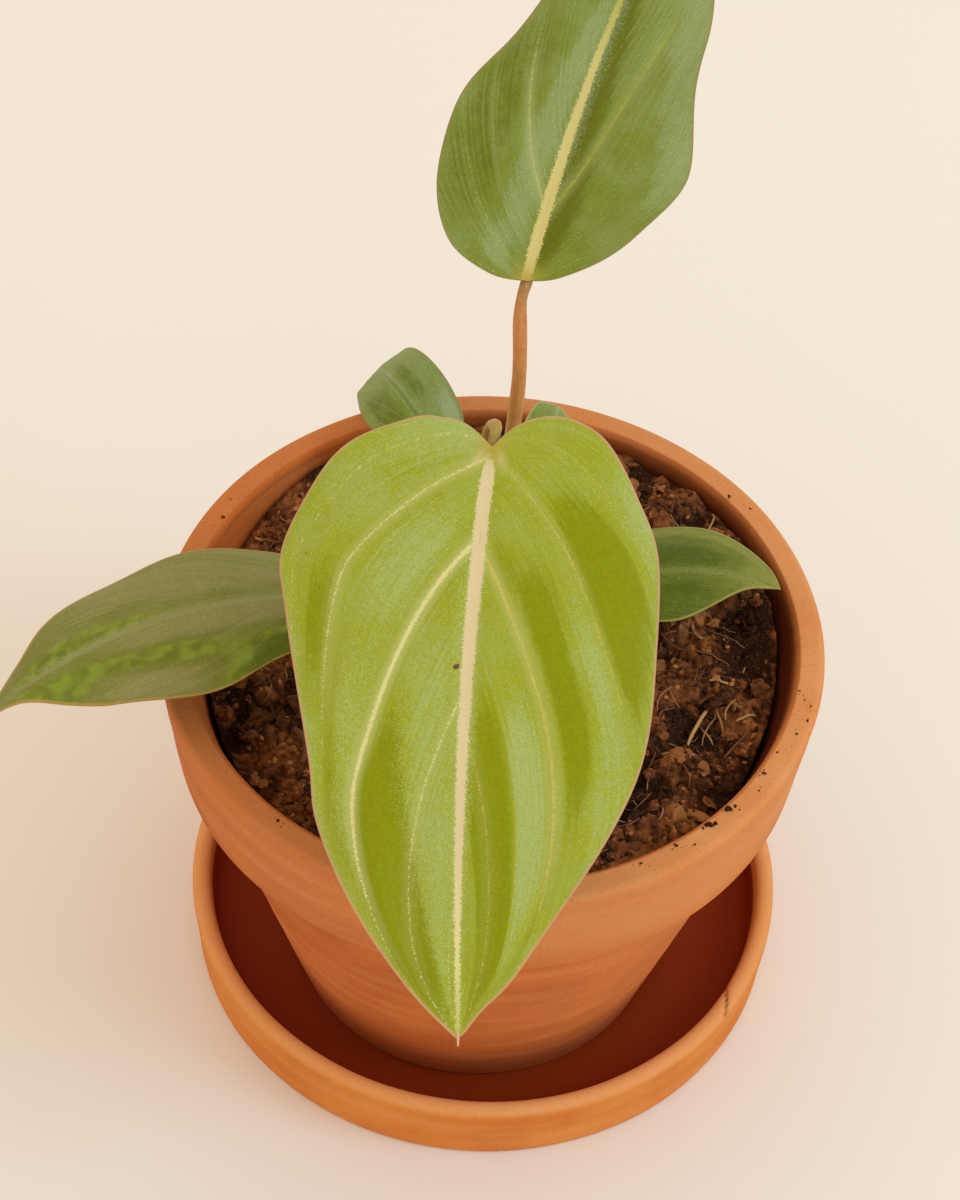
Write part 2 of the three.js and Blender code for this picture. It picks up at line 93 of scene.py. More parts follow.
# One entry a leaf. Side 1 is a blade's right and -1 its left. The first lines give the same form
# as the solid's. grid holds rows, columns above and columns below. rib is the midrib's half width
# at RIB_SHARES of the blade's length. bands are patches of painted sheen (share above 0) or of deep
# green (below 0): side, lowest and highest flow, row and edge, and share. dots are crowds of pale
# dots, painted glints, said the same way. marks are crumbs on the blade: side, row, edge, length,
# width and tone. In colours, pale is mostly the colour of the painted sheen and glints.
RIB_SHARES = (0, 0.06, 0.2, 0.4, 0.6, 0.8, 1)
ANY = (-1, 1)
LEAF_DEFAULTS = dict(roll=(0, 0), slot="leaf", veins={1: PLAIN_VEINS, -1: PLAIN_VEINS}, late_rib=0, fan=0,
                     dots=[], marks=[])
LEAVES = {
    "front": dict(
        base=(-2.2, -8, 165.3), length=107.3, half_width=34, heading=(-95.2, -83.8), pitch=(-24, -44),
        fold=0, sag=0.08, wave=(1.1, 5, 0.2), margins=("heart_right", "heart_left"),
        stalk=[(-4, 4.9, 94), (-4.6, 4.6, 112), (-4.2, 4, 138), (-3, 2.2, 157)],
        grid=(300, 97, 30), rib=(0.8, 1.2, 1.25, 1.05, 0.85, 0.5, 0.25), quilt=0.5, late_rib=2, fan=1,
        slot="young_leaf",
        veins={
            1: Form(flows=(0.07, 0.322, 0.58), strengths=(0.45, 0.95, 0.3), slope=0.46, steep=1.7,
                    fade=(0.72, 0.98)),
            -1: Form(flows=(0.05, 0.333, 0.633), strengths=(0.3, 0.5, 0.25), slope=0.58, steep=0,
                     fade=(0.72, 0.95)),
        },
        bands=[
            (1, (-1, 0.02), (-0.1, 0.13), (0.1, 1.1), 0.9),
            (1, (-0.08, 0.06), (0.36, 0.52), (0.55, 1.1), -0.8),
            (1, (-1, 0.06), (0.14, 0.36), (0.3, 0.95), 0.3),
            (1, (0.12, 0.27), (0.26, 0.46), (0.1, 0.6), 0.6), (1, ANY, (0.56, 0.97), (0.84, 0.93), -0.7),
            (1, ANY, (0.42, 0.84), (0.95, 1.1), 0.7), (1, (0.34, 1), (0.6, 0.97), (0.38, 0.86), -1.0),
            (1, (0.35, 1), (0.48, 0.9), (0.1, 0.38), 0.55),
            (-1, (-0.16, 0.04), (0.24, 0.54), (0.42, 0.97), -1.0),
            (-1, (0.06, 0.19), (0.42, 0.8), (0.46, 0.8), 0.75),
            (-1, (0.04, 0.19), (0.52, 0.86), (0.8, 1.1), 0.35),
            (-1, (0.145, 0.285), (0.37, 0.82), (0.24, 0.76), -1.0),
            (-1, (0.25, 0.31), (0.34, 0.45), (0.04, 0.22), -0.7),
            (-1, (0.37, 0.5), (0.57, 0.9), (0.24, 0.84), 1.0),
            (-1, (0.5, 0.72), (0.6, 1.1), (0.06, 0.66), -1.0),
            (-1, (0.3, 1), (0.84, 0.94), (0.4, 0.9), -0.8), (-1, ANY, (0.22, 0.34), (0.88, 1.1), 1.0),
        ],
        dots=[(1, (0.16, 0.31), (0.48, 0.76), (0.5, 0.86), 0.45),
              (1, (0.35, 1), (0.5, 0.95), (0.05, 0.42), 0.4)],
        marks=[(1, 0.545, 0.07, 1.0, 1.7, 0.42), (1, 0.405, 0.8, 0.5, 0.16, 0.1),
               (1, 0.36, 0.87, 0.5, 0.16, 0.1), (-1, 0.285, 0.87, 0.45, 0.16, 0.1),
               (1, 0.715, 0.48, 0.35, 0.25, 1.0)],
        colours=dict(leaf=(154, 161, 30), deep=(136, 143, 0), pale=(160, 175, 92), rib=(216, 197, 146),
                     margin=(204, 150, 112), under=(160, 176, 104), vein=(224, 212, 142),
                     left_vein=(206, 182, 92))),
    "upper": dict(
        base=(2.1, 22, 178), length=104, half_width=23, heading=(77, 73), pitch=(28, -10),
        fold=0.1, sag=0, wave=(1.6, 3.5, 0.55), margins=("upper_right", "upper_left"),
        stalk=[(1, 5.1, 94), (0.4, 5.4, 116), (0.8, 7.2, 140), (2, 12.6, 161)],
        grid=(240, 70, 22), rib=(0.8, 1.1, 1.0, 0.72, 0.5, 0.3, 0.2), quilt=0.45,
        veins={
            1: Form(flows=(0.02, 0.27, 0.52), strengths=(0.05, 0.45, 0.12), slope=0.57, steep=0,
                    fade=(0.55, 0.85)),
            -1: Form(flows=(0.03, 0.29, 0.55), strengths=(0.1, 0.5, 0.12), slope=0.36, steep=0,
                     fade=(0.6, 0.85)),
        },
        bands=[
            (-1, ANY, (0.18, 0.75), (0.08, 0.36), 0.9), (-1, ANY, (0.06, 0.19), (0.3, 0.6), 1.0),
            (-1, ANY, (0.2, 0.6), (0.5, 0.95), -0.4), (1, ANY, (0.24, 0.75), (0.74, 1.1), 0.8),
            (1, ANY, (0.56, 0.8), (0.45, 0.8), 0.5), (1, ANY, (0.1, 0.95), (0.02, 0.27), -0.8),
        ],
        colours=dict(leaf=(120, 132, 38), deep=(100, 108, 12), pale=(146, 160, 100), rib=(204, 190, 116),
                     margin=(150, 132, 74), under=(140, 158, 92), vein=(166, 164, 58),
                     left_vein=(176, 180, 104))),
    "left": dict(
        base=(-28.5, -6, 118.4), length=75.2, half_width=17, heading=(190.7, 211.9), pitch=(14, -34),
        fold=-0.2, sag=0.08, wave=(0.7, 3, 0.1), margins=("lean_back", "lean_front"),
        stalk=[(-13, 4.7, 94), (-14.5, 4.2, 101), (-18.5, 1, 109.5)],
        grid=(180, 52, 18), rib=(0.8, 0.7, 0.5, 0.4, 0.35, 0.28, 0.2), quilt=0.2,
        bands=[
            (1, ANY, (0.2, 0.75), (0.2, 1.0), 0.6), (1, ANY, (0.62, 0.9), (0.04, 0.48), -0.6),
            (-1, ANY, (0.02, 0.72), (0.02, 0.33), 0.9), (-1, ANY, (0.15, 0.38), (0.52, 1.1), -1.0),
            (-1, ANY, (0.44, 0.92), (0.4, 0.62), -0.55), (-1, ANY, (0.46, 0.72), (0.66, 0.97), 0.9),
            (-1, ANY, (0.72, 0.9), (0.62, 1.1), -0.5),
        ],
        marks=[(-1, 0.4, 0.7, 0.4, 0.25, 1.0), (1, 0.475, 0.2, 0.45, 0.35, 0.1)],
        colours=dict(leaf=(122, 126, 48), deep=(94, 104, 16), pale=(148, 142, 86), rib=(150, 148, 90),
                     margin=(180, 142, 68), under=(128, 146, 88), vein=(140, 142, 84),
                     glow=(134, 150, 46))),
    "right": dict(
        base=(18.6, 10, 106.4), length=38.8, half_width=12, heading=(14.9, -5.2), pitch=(24, -24),
        fold=-0.1, sag=0.08, wave=(0.4, 2.5, 0.3), margins=("small_front", "small_back"),
        stalk=[(11, 5.6, 94), (12.3, 6.8, 99.4)],
        grid=(120, 40, 14), rib=(0.6, 0.55, 0.4, 0.32, 0.28, 0.22, 0.15), quilt=0.12,
        bands=[
            (1, ANY, (0.3, 0.72), (0.3, 1.1), -0.5), (1, ANY, (0.8, 1.1), (0, 1.1), 0.8),
            (-1, ANY, (0.3, 0.8), (0.1, 0.55), -0.6), (-1, ANY, (0.25, 0.9), (0.74, 0.97), 0.9),
            (-1, ANY, (0.82, 1.1), (0, 0.8), 0.8),
        ],
        colours=dict(leaf=(100, 112, 34), deep=(78, 92, 8), pale=(140, 140, 60), rib=(116, 122, 56),
                     margin=(158, 146, 70), under=(126, 148, 84), vein=(112, 122, 50))),
    "back_left": dict(
        base=(-11.7, 35.5, 114.3), length=47, half_width=8.9, heading=(131, 97.5), pitch=(32, -80),
        roll=(17, 46), fold=-0.05, sag=0.05, wave=(0.4, 2.5, 0.8), margins=("broad", "broad"),
        stalk=[(-8.5, 5, 94), (-9.3, 13, 99.8), (-9.9, 24.5, 104.2)],
        grid=(130, 36, 14), rib=(0.6, 0.6, 0.5, 0.4, 0.3, 0.22, 0.15), quilt=0.12,
        bands=[
            (1, ANY, (0.14, 0.34), (0.5, 0.9), 1.0), (1, ANY, (0.4, 0.66), (0.2, 0.52), -0.5),
            (-1, ANY, (0.3, 0.6), (0.2, 0.8), -0.5), (-1, ANY, (0.7, 1.1), (0, 1.1), 0.3),
        ],
        colours=dict(leaf=(122, 138, 36), deep=(98, 110, 14), pale=(160, 174, 130), rib=(126, 136, 66),
                     margin=(150, 136, 80), under=(122, 146, 84), vein=(116, 130, 52))),
    "back_right": dict(
        base=(9.8, 30, 110.5), length=32, half_width=6.2, heading=(92, 84), pitch=(28, -46),
        roll=(-28, -28), fold=-0.1, sag=0.05, wave=(0.3, 2, 0.4), margins=("lean_back", "lean_back"),
        stalk=[(6, 5.3, 94), (7, 8, 101.5), (8.4, 17, 107)],
        grid=(100, 28, 12), rib=(0.5, 0.5, 0.4, 0.32, 0.25, 0.2, 0.15), quilt=0.1, slot="young_leaf",
        bands=[(1, ANY, (0.2, 0.8), (0.3, 0.9), 0.5)],
        colours=dict(leaf=(116, 138, 46), deep=(98, 120, 30), pale=(136, 152, 80), rib=(170, 172, 104),
                     margin=(184, 160, 104), under=(156, 172, 108), vein=(160, 170, 96))),
}


# Curves and meshes

def smooth_curve(points, shares, carry_on):
    """Points at shares of the length of a Catmull-Rom curve. carry_on 1 runs its end legs on."""
    points = np.asarray(points, float)
    before = points[0] - carry_on * (points[1] - points[0])
    after = points[-1] + carry_on * (points[-1] - points[-2])
    padded = np.vstack([before, points, after])

    def at(times):
        place = np.clip(times, 0, 1) * (len(points) - 1)
        low = np.minimum(place.astype(int), len(points) - 2)
        part = (place - low)[:, None]
        a, b, c, d = (padded[low + k] for k in range(4))
        leave = (c - a) / 2
        arrive = (d - b) / 2
        cubic = 2 * b - 2 * c + leave + arrive
        square = 3 * c - 3 * b - 2 * leave - arrive
        return ((cubic * part + square) * part + leave) * part + b

    times = np.linspace(0, 1, 800)
    legs = np.linalg.norm(np.diff(at(times), axis=0), axis=1)
    length = np.concatenate([[0], np.cumsum(legs)])
    return at(np.interp(np.asarray(shares) * length[-1], length, times))


def smooth_step(value, low, high):
    """0 below low, 1 above high and a soft ramp between."""
    part = np.clip((value - low) / (high - low), 0, 1)
    return part * part * (3 - 2 * part)


def inside_band(value, limits, soft):
    """1 inside the limits and 0 outside, with soft edges."""
    low, high = limits
    return smooth_step(value, low - soft, low + soft) * (1 - smooth_step(value, high - soft, high + soft))


def bell(away, width):
    """1 where away is 0, fading out over about width."""
    return np.exp(-(away / width) ** 2)


def unit(vectors):
    return vectors / np.linalg.norm(vectors, axis=-1, keepdims=True)


def around(sides):
    """That many angles, evenly all the way round."""
    return np.linspace(0, 2 * np.pi, sides, endpoint=False)


def grid_faces(index):
    """Faces of a grid of vertex numbers. Corners that fall together make a triangle."""
    corners = np.stack([index[:-1, :-1], index[:-1, 1:], index[1:, 1:], index[1:, :-1]], -1)
    faces = (list(dict.fromkeys(face)) for face in corners.reshape(-1, 4).tolist())
    return [face for face in faces if len(face) > 2]


def ring_index(rings, sides):
    """Vertex numbers of closed rings between a first and a last point, which are numbered last."""
    count = rings * sides
    index = np.vstack([np.full((1, sides), count), np.arange(count).reshape(rings, sides),
                       np.full((1, sides), count + 1)])
    return np.hstack([index, index[:, :1]])


def make_piece(name, points, faces, material, fields, smooth=True):
    """A mesh object from points in millimetres. fields are numbers that its material reads."""
    mesh = bpy.data.meshes.new(name)
    mesh.from_pydata((np.asarray(points, float) * MM).tolist(), [], faces)
    for field, values in fields.items():
        layer = mesh.attributes.new(field, "FLOAT", "POINT")
        layer.data.foreach_set("value", np.asarray(values, np.float32).ravel())
    if smooth:
        mesh.shade_smooth()
    mesh.materials.append(material)
    mesh.update()
    piece = bpy.data.objects.new(name, mesh)
    bpy.context.scene.collection.objects.link(piece)
    return piece


def add_piece(name, points, faces, material, node=None, fields=None, smooth=True):
    """A piece that rides on the body, takes its slot and, where one is given, stands for a node."""
    used = sorted({corner for face in faces for corner in face})
    number = {old: new for new, old in enumerate(used)}
    faces = [[number[corner] for corner in face] for face in faces]
    fields = {field: np.ravel(values)[used] for field, values in (fields or {}).items()}
    piece = make_piece(name, np.reshape(points, (-1, 3))[used], faces, material, fields, smooth)
    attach(piece, BODY)
    if node:
        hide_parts(node)


def tube(points, radii, sides):
    """A closed tube along points: its vertices, its faces and each vertex's share of the length."""
    points = np.asarray(points, float)
    ahead = unit(np.gradient(points, axis=0))
    upright = abs(ahead[0][2]) >= 0.9
    across = [unit(np.cross(ahead[0], (1, 0, 0) if upright else (0.3, 0.5, 0.8)))]
    for direction in ahead[1:]:
        across.append(unit(across[-1] - direction * np.dot(across[-1], direction)))
    across = np.array(across)
    angles = around(sides)[:, None]
    ring = across[:, None] * np.cos(angles) + np.cross(ahead, across)[:, None] * np.sin(angles)
    body = points[:, None] + ring * np.reshape(radii, (len(points), -1, 1))
    vertices = np.vstack([body.reshape(-1, 3), points[0], points[-1]])
    share = np.append(np.repeat(np.linspace(0, 1, len(points)), sides), [0, 1])
    return vertices, grid_faces(ring_index(len(points), sides)), share


class Heap:
    """Gathers many small closed shapes into one mesh, each with a tone between 0 and 1."""

    def __init__(self):
        self.points = []
        self.faces = []
        self.tones = []
        self.count = 0

    def add(self, points, faces, tone):
        self.points.append(points)
        self.faces.extend([[corner + self.count for corner in face] for face in faces])
        self.tones.append(np.full(len(points), tone))
        self.count += len(points)

    def build(self, name, material, smooth=True):
        add_piece(name, np.vstack(self.points), self.faces, material,
                  fields={"tone": np.concatenate(self.tones)}, smooth=smooth)


# Materials

def linear(colour):
    """A colour given in 0 to 255 as the eye sees it, as Blender's linear colour."""
    shares = np.array(colour, float) / 255
    low = shares / 12.92
    high = ((shares + 0.055) / 1.055) ** 2.4
    return (*np.where(shares <= 0.04045, low, high), 1.0)


class Value:
    """A number or colour that a material works out at each place, open to plain arithmetic."""

    def __init__(self, paint, socket):
        self.paint = paint
        self.socket = socket

    def math(self, operation, other=0.0):
        return self.paint.node("Math", {0: self, 1: other}, operation=operation)

    def __add__(self, other):
        return self.math("ADD", other)

    def __sub__(self, other):
        return self.math("SUBTRACT", other)

    def __mul__(self, other):
        return self.math("MULTIPLY", other)

    def __truediv__(self, other):
        return self.math("DIVIDE", other)

    def most(self, other):
        return self.math("MAXIMUM", other)

    def below(self, limit):
        """1 where it is below the limit, 0 elsewhere."""
        return self.math("LESS_THAN", limit)

    def ramp(self, low, high, start=0.0, end=1.0):
        """start where it is low and end where it is high, with a soft ramp."""
        values = {"Value": self, "From Min": low, "From Max": high, "To Min": start, "To Max": end}
        return self.paint.node("MapRange", values, interpolation_type="SMOOTHSTEP")


class Paint:
    """Builds one node material from a first colour and coats over it.

    A colour is worked out, or three plain numbers, or a name in the palette.
    """

    def __init__(self, name, colour, palette=None, **shader):
        self.material = bpy.data.materials.new(name)
        self.material.use_nodes = True
        self.tree = self.material.node_tree
        self.surface = self.tree.nodes["Principled BSDF"]
        self.put(self.surface, {socket.replace("_", " "): value for socket, value in shader.items()})
        self.palette = palette or {}
        self.colour = colour
        self.place = self.node("TexCoord", {}, "Object")

    def put(self, node, values):
        """Links worked-out values to a node's sockets, and sets plain numbers straight on them."""
        for socket, value in values.items():
            if isinstance(value, Value):
                self.tree.links.new(value.socket, node.inputs[socket])
            else:
                node.inputs[socket].default_value = value

    def node(self, kind, values, output=0, **settings):
        made = self.tree.nodes.new("ShaderNode" + kind)
        for name, value in settings.items():
            setattr(made, name, value)
        self.put(made, values)
        return Value(self, made.outputs[output])

    def field(self, name):
        return self.node("Attribute", {}, "Fac", attribute_name=name)

    def shade(self, colour, share):
        """A colour of the palette, darkened to a share of itself."""
        return tuple(share * part for part in self.palette[colour])

    def mix(self, share, first, second):
        first, second = (colour if isinstance(colour, Value) else linear(self.palette.get(colour, colour))
                         for colour in (first, second))
        return self.node("MixRGB", {"Fac": share, "Color1": first, "Color2": second})

    def lay(self, colour, share):
        """Lays a share of a colour over what is there."""
        self.colour = self.mix(share, self.colour, colour)

    def coat(self, colour, value, low, high, end=1.0):
        """Lays a colour over what is there: none where value is low, up to end where it is high."""
        self.lay(colour, value.ramp(low, high, 0.0, end))

    def grains(self, size, detail=2.0, place=None):
        """Soft noise from 0 to 1 with blobs of about size millimetres."""
        values = {"Vector": place or self.place, "Scale": 1 / (size * MM), "Detail": detail}
        return self.node("TexNoise", values)

    def cells(self, size, output, feature="F1"):
        return self.node("TexVoronoi", {"Vector": self.place, "Scale": 1 / (size * MM)}, output,
                         feature=feature)

    def chance(self, size):
        """A random number from 0 to 1, the same all over each tiny cell."""
        return self.node("SeparateColor", {"Color": self.cells(size, "Color")}, "Red")

    def stretched(self, x, y, z):
        """The place, squeezed by these factors."""
        return self.node("Mapping", {"Vector": self.place, "Scale": (x, y, z)})

    def height(self):
        """Height above the ground in millimetres."""
        return self.node("SeparateXYZ", {"Vector": self.place}, "Z") * (1 / MM)

    def finish(self, roughness, relief=None, depth=0.0, strength=1.0):
        """Gives the shader its colour, its roughness and small relief of depth millimetres."""
        self.put(self.surface, {"Base Color": self.colour, "Roughness": roughness})
        if relief:
            bump = self.node("Bump", {"Height": relief, "Distance": depth * MM, "Strength": strength})
            self.put(self.surface, {"Normal": bump})
        return self.material


LEAF_JOINT = (174, 152, 58)
# How thickly each kind of blade carries painted glints, the velvety skin's tiny pale dots
VELVET_GLINTS = {"young_leaf": 1.0, "leaf": 0.3}


def leaf_paint(name, colours, velvet_glints):
    """Velvety skin: painted sheen in soft patches, painted glints as pale dots, ragged pale veins
    and a thin coloured margin.
    """
    paint = Paint(name, "leaf", colours, Sheen_Weight=0.03, Sheen_Roughness=0.4, Specular_IOR_Level=0.12)
    cloud = paint.grains(2.2, 3.0)
    sheen = paint.field("sheen")
    net = paint.cells(1.25, "Distance", "DISTANCE_TO_EDGE")
    lay_patches(paint, cloud, sheen, net, velvet_glints)
    veins = lay_veins(paint, cloud)
    paint.coat("margin", paint.field("rim") + (cloud - 0.5) * 0.35, 0.5, 0.2, 0.85)
    upper_skin = paint.colour

    # The underside is paler and duller, with the same veins standing out
    paint.colour = "under"
    paint.coat(paint.shade("under", 0.88), cloud, 0.3, 0.7)
    paint.coat(paint.shade("under", 0.86), net, 0.16, 0.02, 0.4)
    paint.lay("rib", veins * 0.75)
    under = paint.field("under")
    paint.colour = paint.mix(under, upper_skin, paint.colour)
    roughness = sheen.ramp(-0.8, 0.8, 0.42, 0.54) + under * 0.14
    return paint.finish(roughness, paint.grains(0.35, 1.0) + net.ramp(0.0, 0.2, 0.0, 0.35), 0.03, 0.8)


def lay_patches(paint, cloud, sheen, net, velvet_glints):
    """Patches of painted sheen and of deep green, a net of hair veins, and the velvety skin's painted
    glints as pale dots.
    """
    paint.coat("deep", cloud, 0.35, 0.7, 0.3)
    paint.coat("pale", paint.grains(9.0), 0.35, 0.7, 0.3)

    # The patches of painted sheen and deep green are broken into streaks that run with the veins
    run = {"X": paint.field("lane") * 0.022, "Y": paint.field("across") * 4e-5}
    streaks = paint.grains(1.0, 2.0, paint.node("CombineXYZ", run))
    patchy = sheen + (cloud - 0.5) * 0.7 + (streaks - 0.5) * 1.1
    paint.coat("deep", patchy, -0.15, -0.8)
    # Pale here is painted sheen, laid where the patches are high and in streaks
    paint.coat("pale", patchy, 0.1, 0.95, 0.65)
    paint.lay("pale", streaks.ramp(0.5, 0.75, 0.0, 0.22) * sheen.ramp(-0.9, 0.0))
    paint.coat("deep", streaks, 0.5, 0.25, 0.18)
    hair_veins = net.ramp(0.16, 0.02, 0.0, 0.35) * sheen.ramp(0.1, -0.7, 0.15, 1.0)
    paint.lay(paint.shade("deep", 0.88), hair_veins)

    # Bright blotches in the deep green
    if "glow" in paint.palette:
        blotches = paint.grains(2.6, 1.0).ramp(0.36, 0.68, 0.2, 0.8)
        paint.lay("glow", blotches * sheen.ramp(0.0, -0.35) * sheen.ramp(-1.0, -0.75))

    # Painted glints: tiny pale dots, thickest beside the midrib and in the painted sheen
    sparkle = tuple(min(255, part + rise) for part, rise in zip(paint.palette["pale"], (20, 18, 34)))
    crowd = (patchy.ramp(-0.4, 1.1, 0.0, 0.6) * velvet_glints).most(paint.field("halo"))
    paint.lay(sparkle, paint.chance(0.17).below(crowd) * 0.42)


def lay_veins(paint, cloud):
    """Side veins, midrib and joint, with a ragged edge of dots. Gives back where the veins are."""
    lane, bold, side, rib_half = (paint.field(name) for name in ("lane", "bold", "across", "rib"))
    chance = paint.chance(0.21)
    left_vein = "left_vein" if "left_vein" in paint.palette else "vein"
    colour = paint.mix(side.below(0.0), "vein", left_vein)
    from_vein = (lane - lane.math("ROUND")).math("ABSOLUTE") * paint.field("pitch")
    glow = from_vein.ramp(2.2, 0.1) * bold.ramp(0.05, 0.6, 0.0, 0.6)
    paint.lay(paint.mix(0.4, "pale", colour), glow)
    narrow = from_vein / bold.ramp(0.0, 1.0, 0.2, 0.55)
    vein = narrow.ramp(1.3, 0.1) * bold.ramp(0.0, 0.8, 0.1, 1.0)
    vein = chance.below(vein) * 0.7 + vein * 0.15
    paint.lay(colour, vein)

    past_rib = side.math("ABSOLUTE") - rib_half
    rib = chance.below(past_rib.ramp(0.42, -0.30)).most(past_rib.ramp(-0.05, -0.35))
    rib = rib * rib_half.ramp(0.2, 0.5, 0.4, 1.0)
    paint.lay(paint.mix(rib_half.ramp(0.75, 0.35), "rib", "vein"), rib)
    paint.lay("rib", paint.field("fan") * cloud.ramp(0.3, 0.6, 0.3, 0.9))
    paint.lay(LEAF_JOINT, paint.field("joint") * 0.8)
    return rib.most(vein)


# Each clay's last pair holds the height where its inside keeps its own colour, and the height where
# it is darkest there: partly dampness, partly painted shade in the recess.
CLAYS = {
    "saucer": dict(body=(218, 136, 62), pale=(230, 166, 106), deep=(200, 108, 42), damp_and_shade=(130, 42, 0),
                   dark_inside=(16.2, 13.0)),
    "pot": dict(body=(200, 108, 46), pale=(222, 154, 94), deep=(160, 60, 10), damp_and_shade=(92, 34, 5),
                dark_inside=(100.5, 94.0)),
}
CLAY_FIELDS = ("inside", "bloom_and_light", "foot", "shade_rise", "mark")
CRACK_SHADE = (88, 44, 24)


def clay_paint(name, clay):
    """Unglazed fired clay: body colour, deeper fired patches and a pale efflorescence. Painted light pales
    the lip, the rim tops and the lit side; painted shade deepens the foot, the side away from the light
    and the inner faces, which are partly dampness too.
    """
    paint = Paint(name, "body", clay, Specular_IOR_Level=0.12)
    inside, bloom_and_light, foot, shade_rise, mark = (paint.field(field) for field in CLAY_FIELDS)
    mottle = paint.grains(16, 3.0)
    rings = paint.grains(5.0, 2.0, paint.stretched(0.1, 0.1, 1.0))
    grit = paint.grains(0.55)
    paint.coat("deep", mottle, 0.35, 0.7, 0.55)
    # Painted shade: deeper colour towards the pot's foot and on its side away from the light
    paint.lay("deep", foot * mottle.ramp(0.2, 0.8, 0.6, 1.0))
    paint.coat("pale", rings, 0.42, 0.8, 0.28)
    paint.coat("deep", rings, 0.48, 0.2, 0.22)
    # Paler lip, rim tops and lit side: painted light, with some efflorescence on the pot's collar
    paint.lay("pale", bloom_and_light * mottle.ramp(0.2, 0.8, 0.45, 0.9))
    paint.coat("deep", grit, 0.56, 0.72, 0.22)
    paint.coat("pale", grit, 0.42, 0.28, 0.25)
    # The inside darkens below a ragged line: partly dampness, partly painted shade, lifted on the shaded
    # side
    ragged_height = paint.height() + (mottle - 0.5) * 5.0 - shade_rise
    dark_inside = inside * ragged_height.ramp(*clay["dark_inside"])
    paint.lay("damp_and_shade", dark_inside)
    paint.lay(CRACK_SHADE, mark * 0.85)
    lumps = grit * 0.7 + paint.grains(2.4, 3.0) * 0.8
    return paint.finish(dark_inside.ramp(0.0, 1.0, 0.85, 0.72), lumps, 0.10, 0.6)


def soil_paint(name, size):
    """Moist peat: painted shade in the hollows, brown crumbs and a few pale fibres, by each crumb's tone."""
    paint = Paint(name, (90, 47, 20), Specular_IOR_Level=0.1)
    tone = paint.field("tone")
    clumps = paint.grains(size, 3.0)
    specks = paint.grains(0.5)
    paint.coat((146, 86, 44), clumps, 0.3, 0.65)
    # Low tone paints shade in the hollows and high tone light on the raised clumps, over each crumb's own
    # brown
    paint.coat((50, 25, 10), tone, 0.6, 0.15)
    paint.coat((184, 118, 64), tone, 0.65, 0.98)
    paint.coat((150, 98, 56), specks, 0.58, 0.72, 0.4)
    return paint.finish(clumps.ramp(0.2, 0.8, 0.9, 0.7), specks + clumps, 0.35, 0.8)


def fibre_paint(name):
    """Dry strands, from dark root to pale straw by tone."""
    paint = Paint(name, (70, 38, 22), Specular_IOR_Level=0.3)
    tone = paint.field("tone")
    streaks = paint.grains(0.7)
    paint.coat((128, 82, 46), tone, 0.1, 0.6)
    paint.coat((206, 158, 96), tone, 0.55, 0.95)
    paint.coat((84, 50, 28), streaks, 0.4, 0.8, 0.4)
    return paint.finish(streaks.ramp(0.2, 0.8, 0.6, 0.8), streaks, 0.08, 0.5)


def stalk_paint(name, low, high, knee):
    """Smooth skin with fine lines, from its colour near the soil to that near the blade, and darker in the
    knee, which is painted shade behind the blade's notch.
    """
    paint = Paint(name, low, Specular_IOR_Level=0.45)
    share = paint.field("share")
    lines = paint.grains(0.5, 2.0, paint.stretched(1.0, 1.0, 0.08))
    blotch = paint.grains(2.5, 3.0)
    paint.coat(high, share, 0.42, 0.8)
    # Painted shade: the knee behind the blade's notch is darker
    paint.coat(knee, share, 0.84, 0.94)
    paint.coat((214, 166, 92), lines, 0.45, 0.75, 0.35)
    paint.coat((150, 92, 36), blotch, 0.5, 0.75, 0.4)
    return paint.finish(blotch.ramp(0.2, 0.8, 0.42, 0.56), lines, 0.10, 0.6)


def rhizome_paint(name):
    """Olive brown skin with darker old leaf scars."""
    paint = Paint(name, (128, 112, 56), Specular_IOR_Level=0.4)
    blotch = paint.grains(2.2, 3.0)
    fine = paint.grains(0.5)
    paint.coat((104, 82, 42), blotch, 0.35, 0.7)
    paint.coat((92, 58, 32), paint.field("ring"), 0.3, 0.9, 0.8)
    paint.coat((170, 148, 90), fine, 0.5, 0.8, 0.35)
    return paint.finish(blotch.ramp(0.2, 0.8, 0.5, 0.7), fine, 0.12, 0.6)


def tip_paint(name):
    paint = Paint(name, (206, 160, 124), Specular_IOR_Level=0.4)
    paint.lay((228, 176, 140), paint.grains(0.5))
    return paint.finish(0.5, paint.grains(0.3), 0.05, 0.5)


def floor_paint(name):
    paint = Paint(name, (238, 230, 214), Specular_IOR_Level=0.2)
    paint.lay((240, 232, 217), paint.grains(90))
    return paint.finish(0.75)


# Clay

def arc(centre, radius, start, end, steps):
    """Points on an arc of the profile, from angle start to end."""
    angles = np.radians(np.linspace(start, end, steps + 1))
    return [(centre[0] + radius * math.cos(a), centre[1] + radius * math.sin(a)) for a in angles]


def refine(profile, pitch):
    """The same profile with points no further apart than pitch."""
    profile = np.array(profile, float)
    fine = [profile[:1]]
    for here, there in zip(profile[:-1], profile[1:]):
        steps = max(1, math.ceil(np.linalg.norm(there - here) / pitch))
        fine.append(here + (there - here) * np.arange(1, steps + 1)[:, None] / steps)
    return np.vstack(fine)


def thrown_places(profile, sides):
    """Angle, radius and height of each vertex of the turned profile."""
    return np.broadcast_arrays(around(sides)[:, None], profile[:, 0], profile[:, 1])


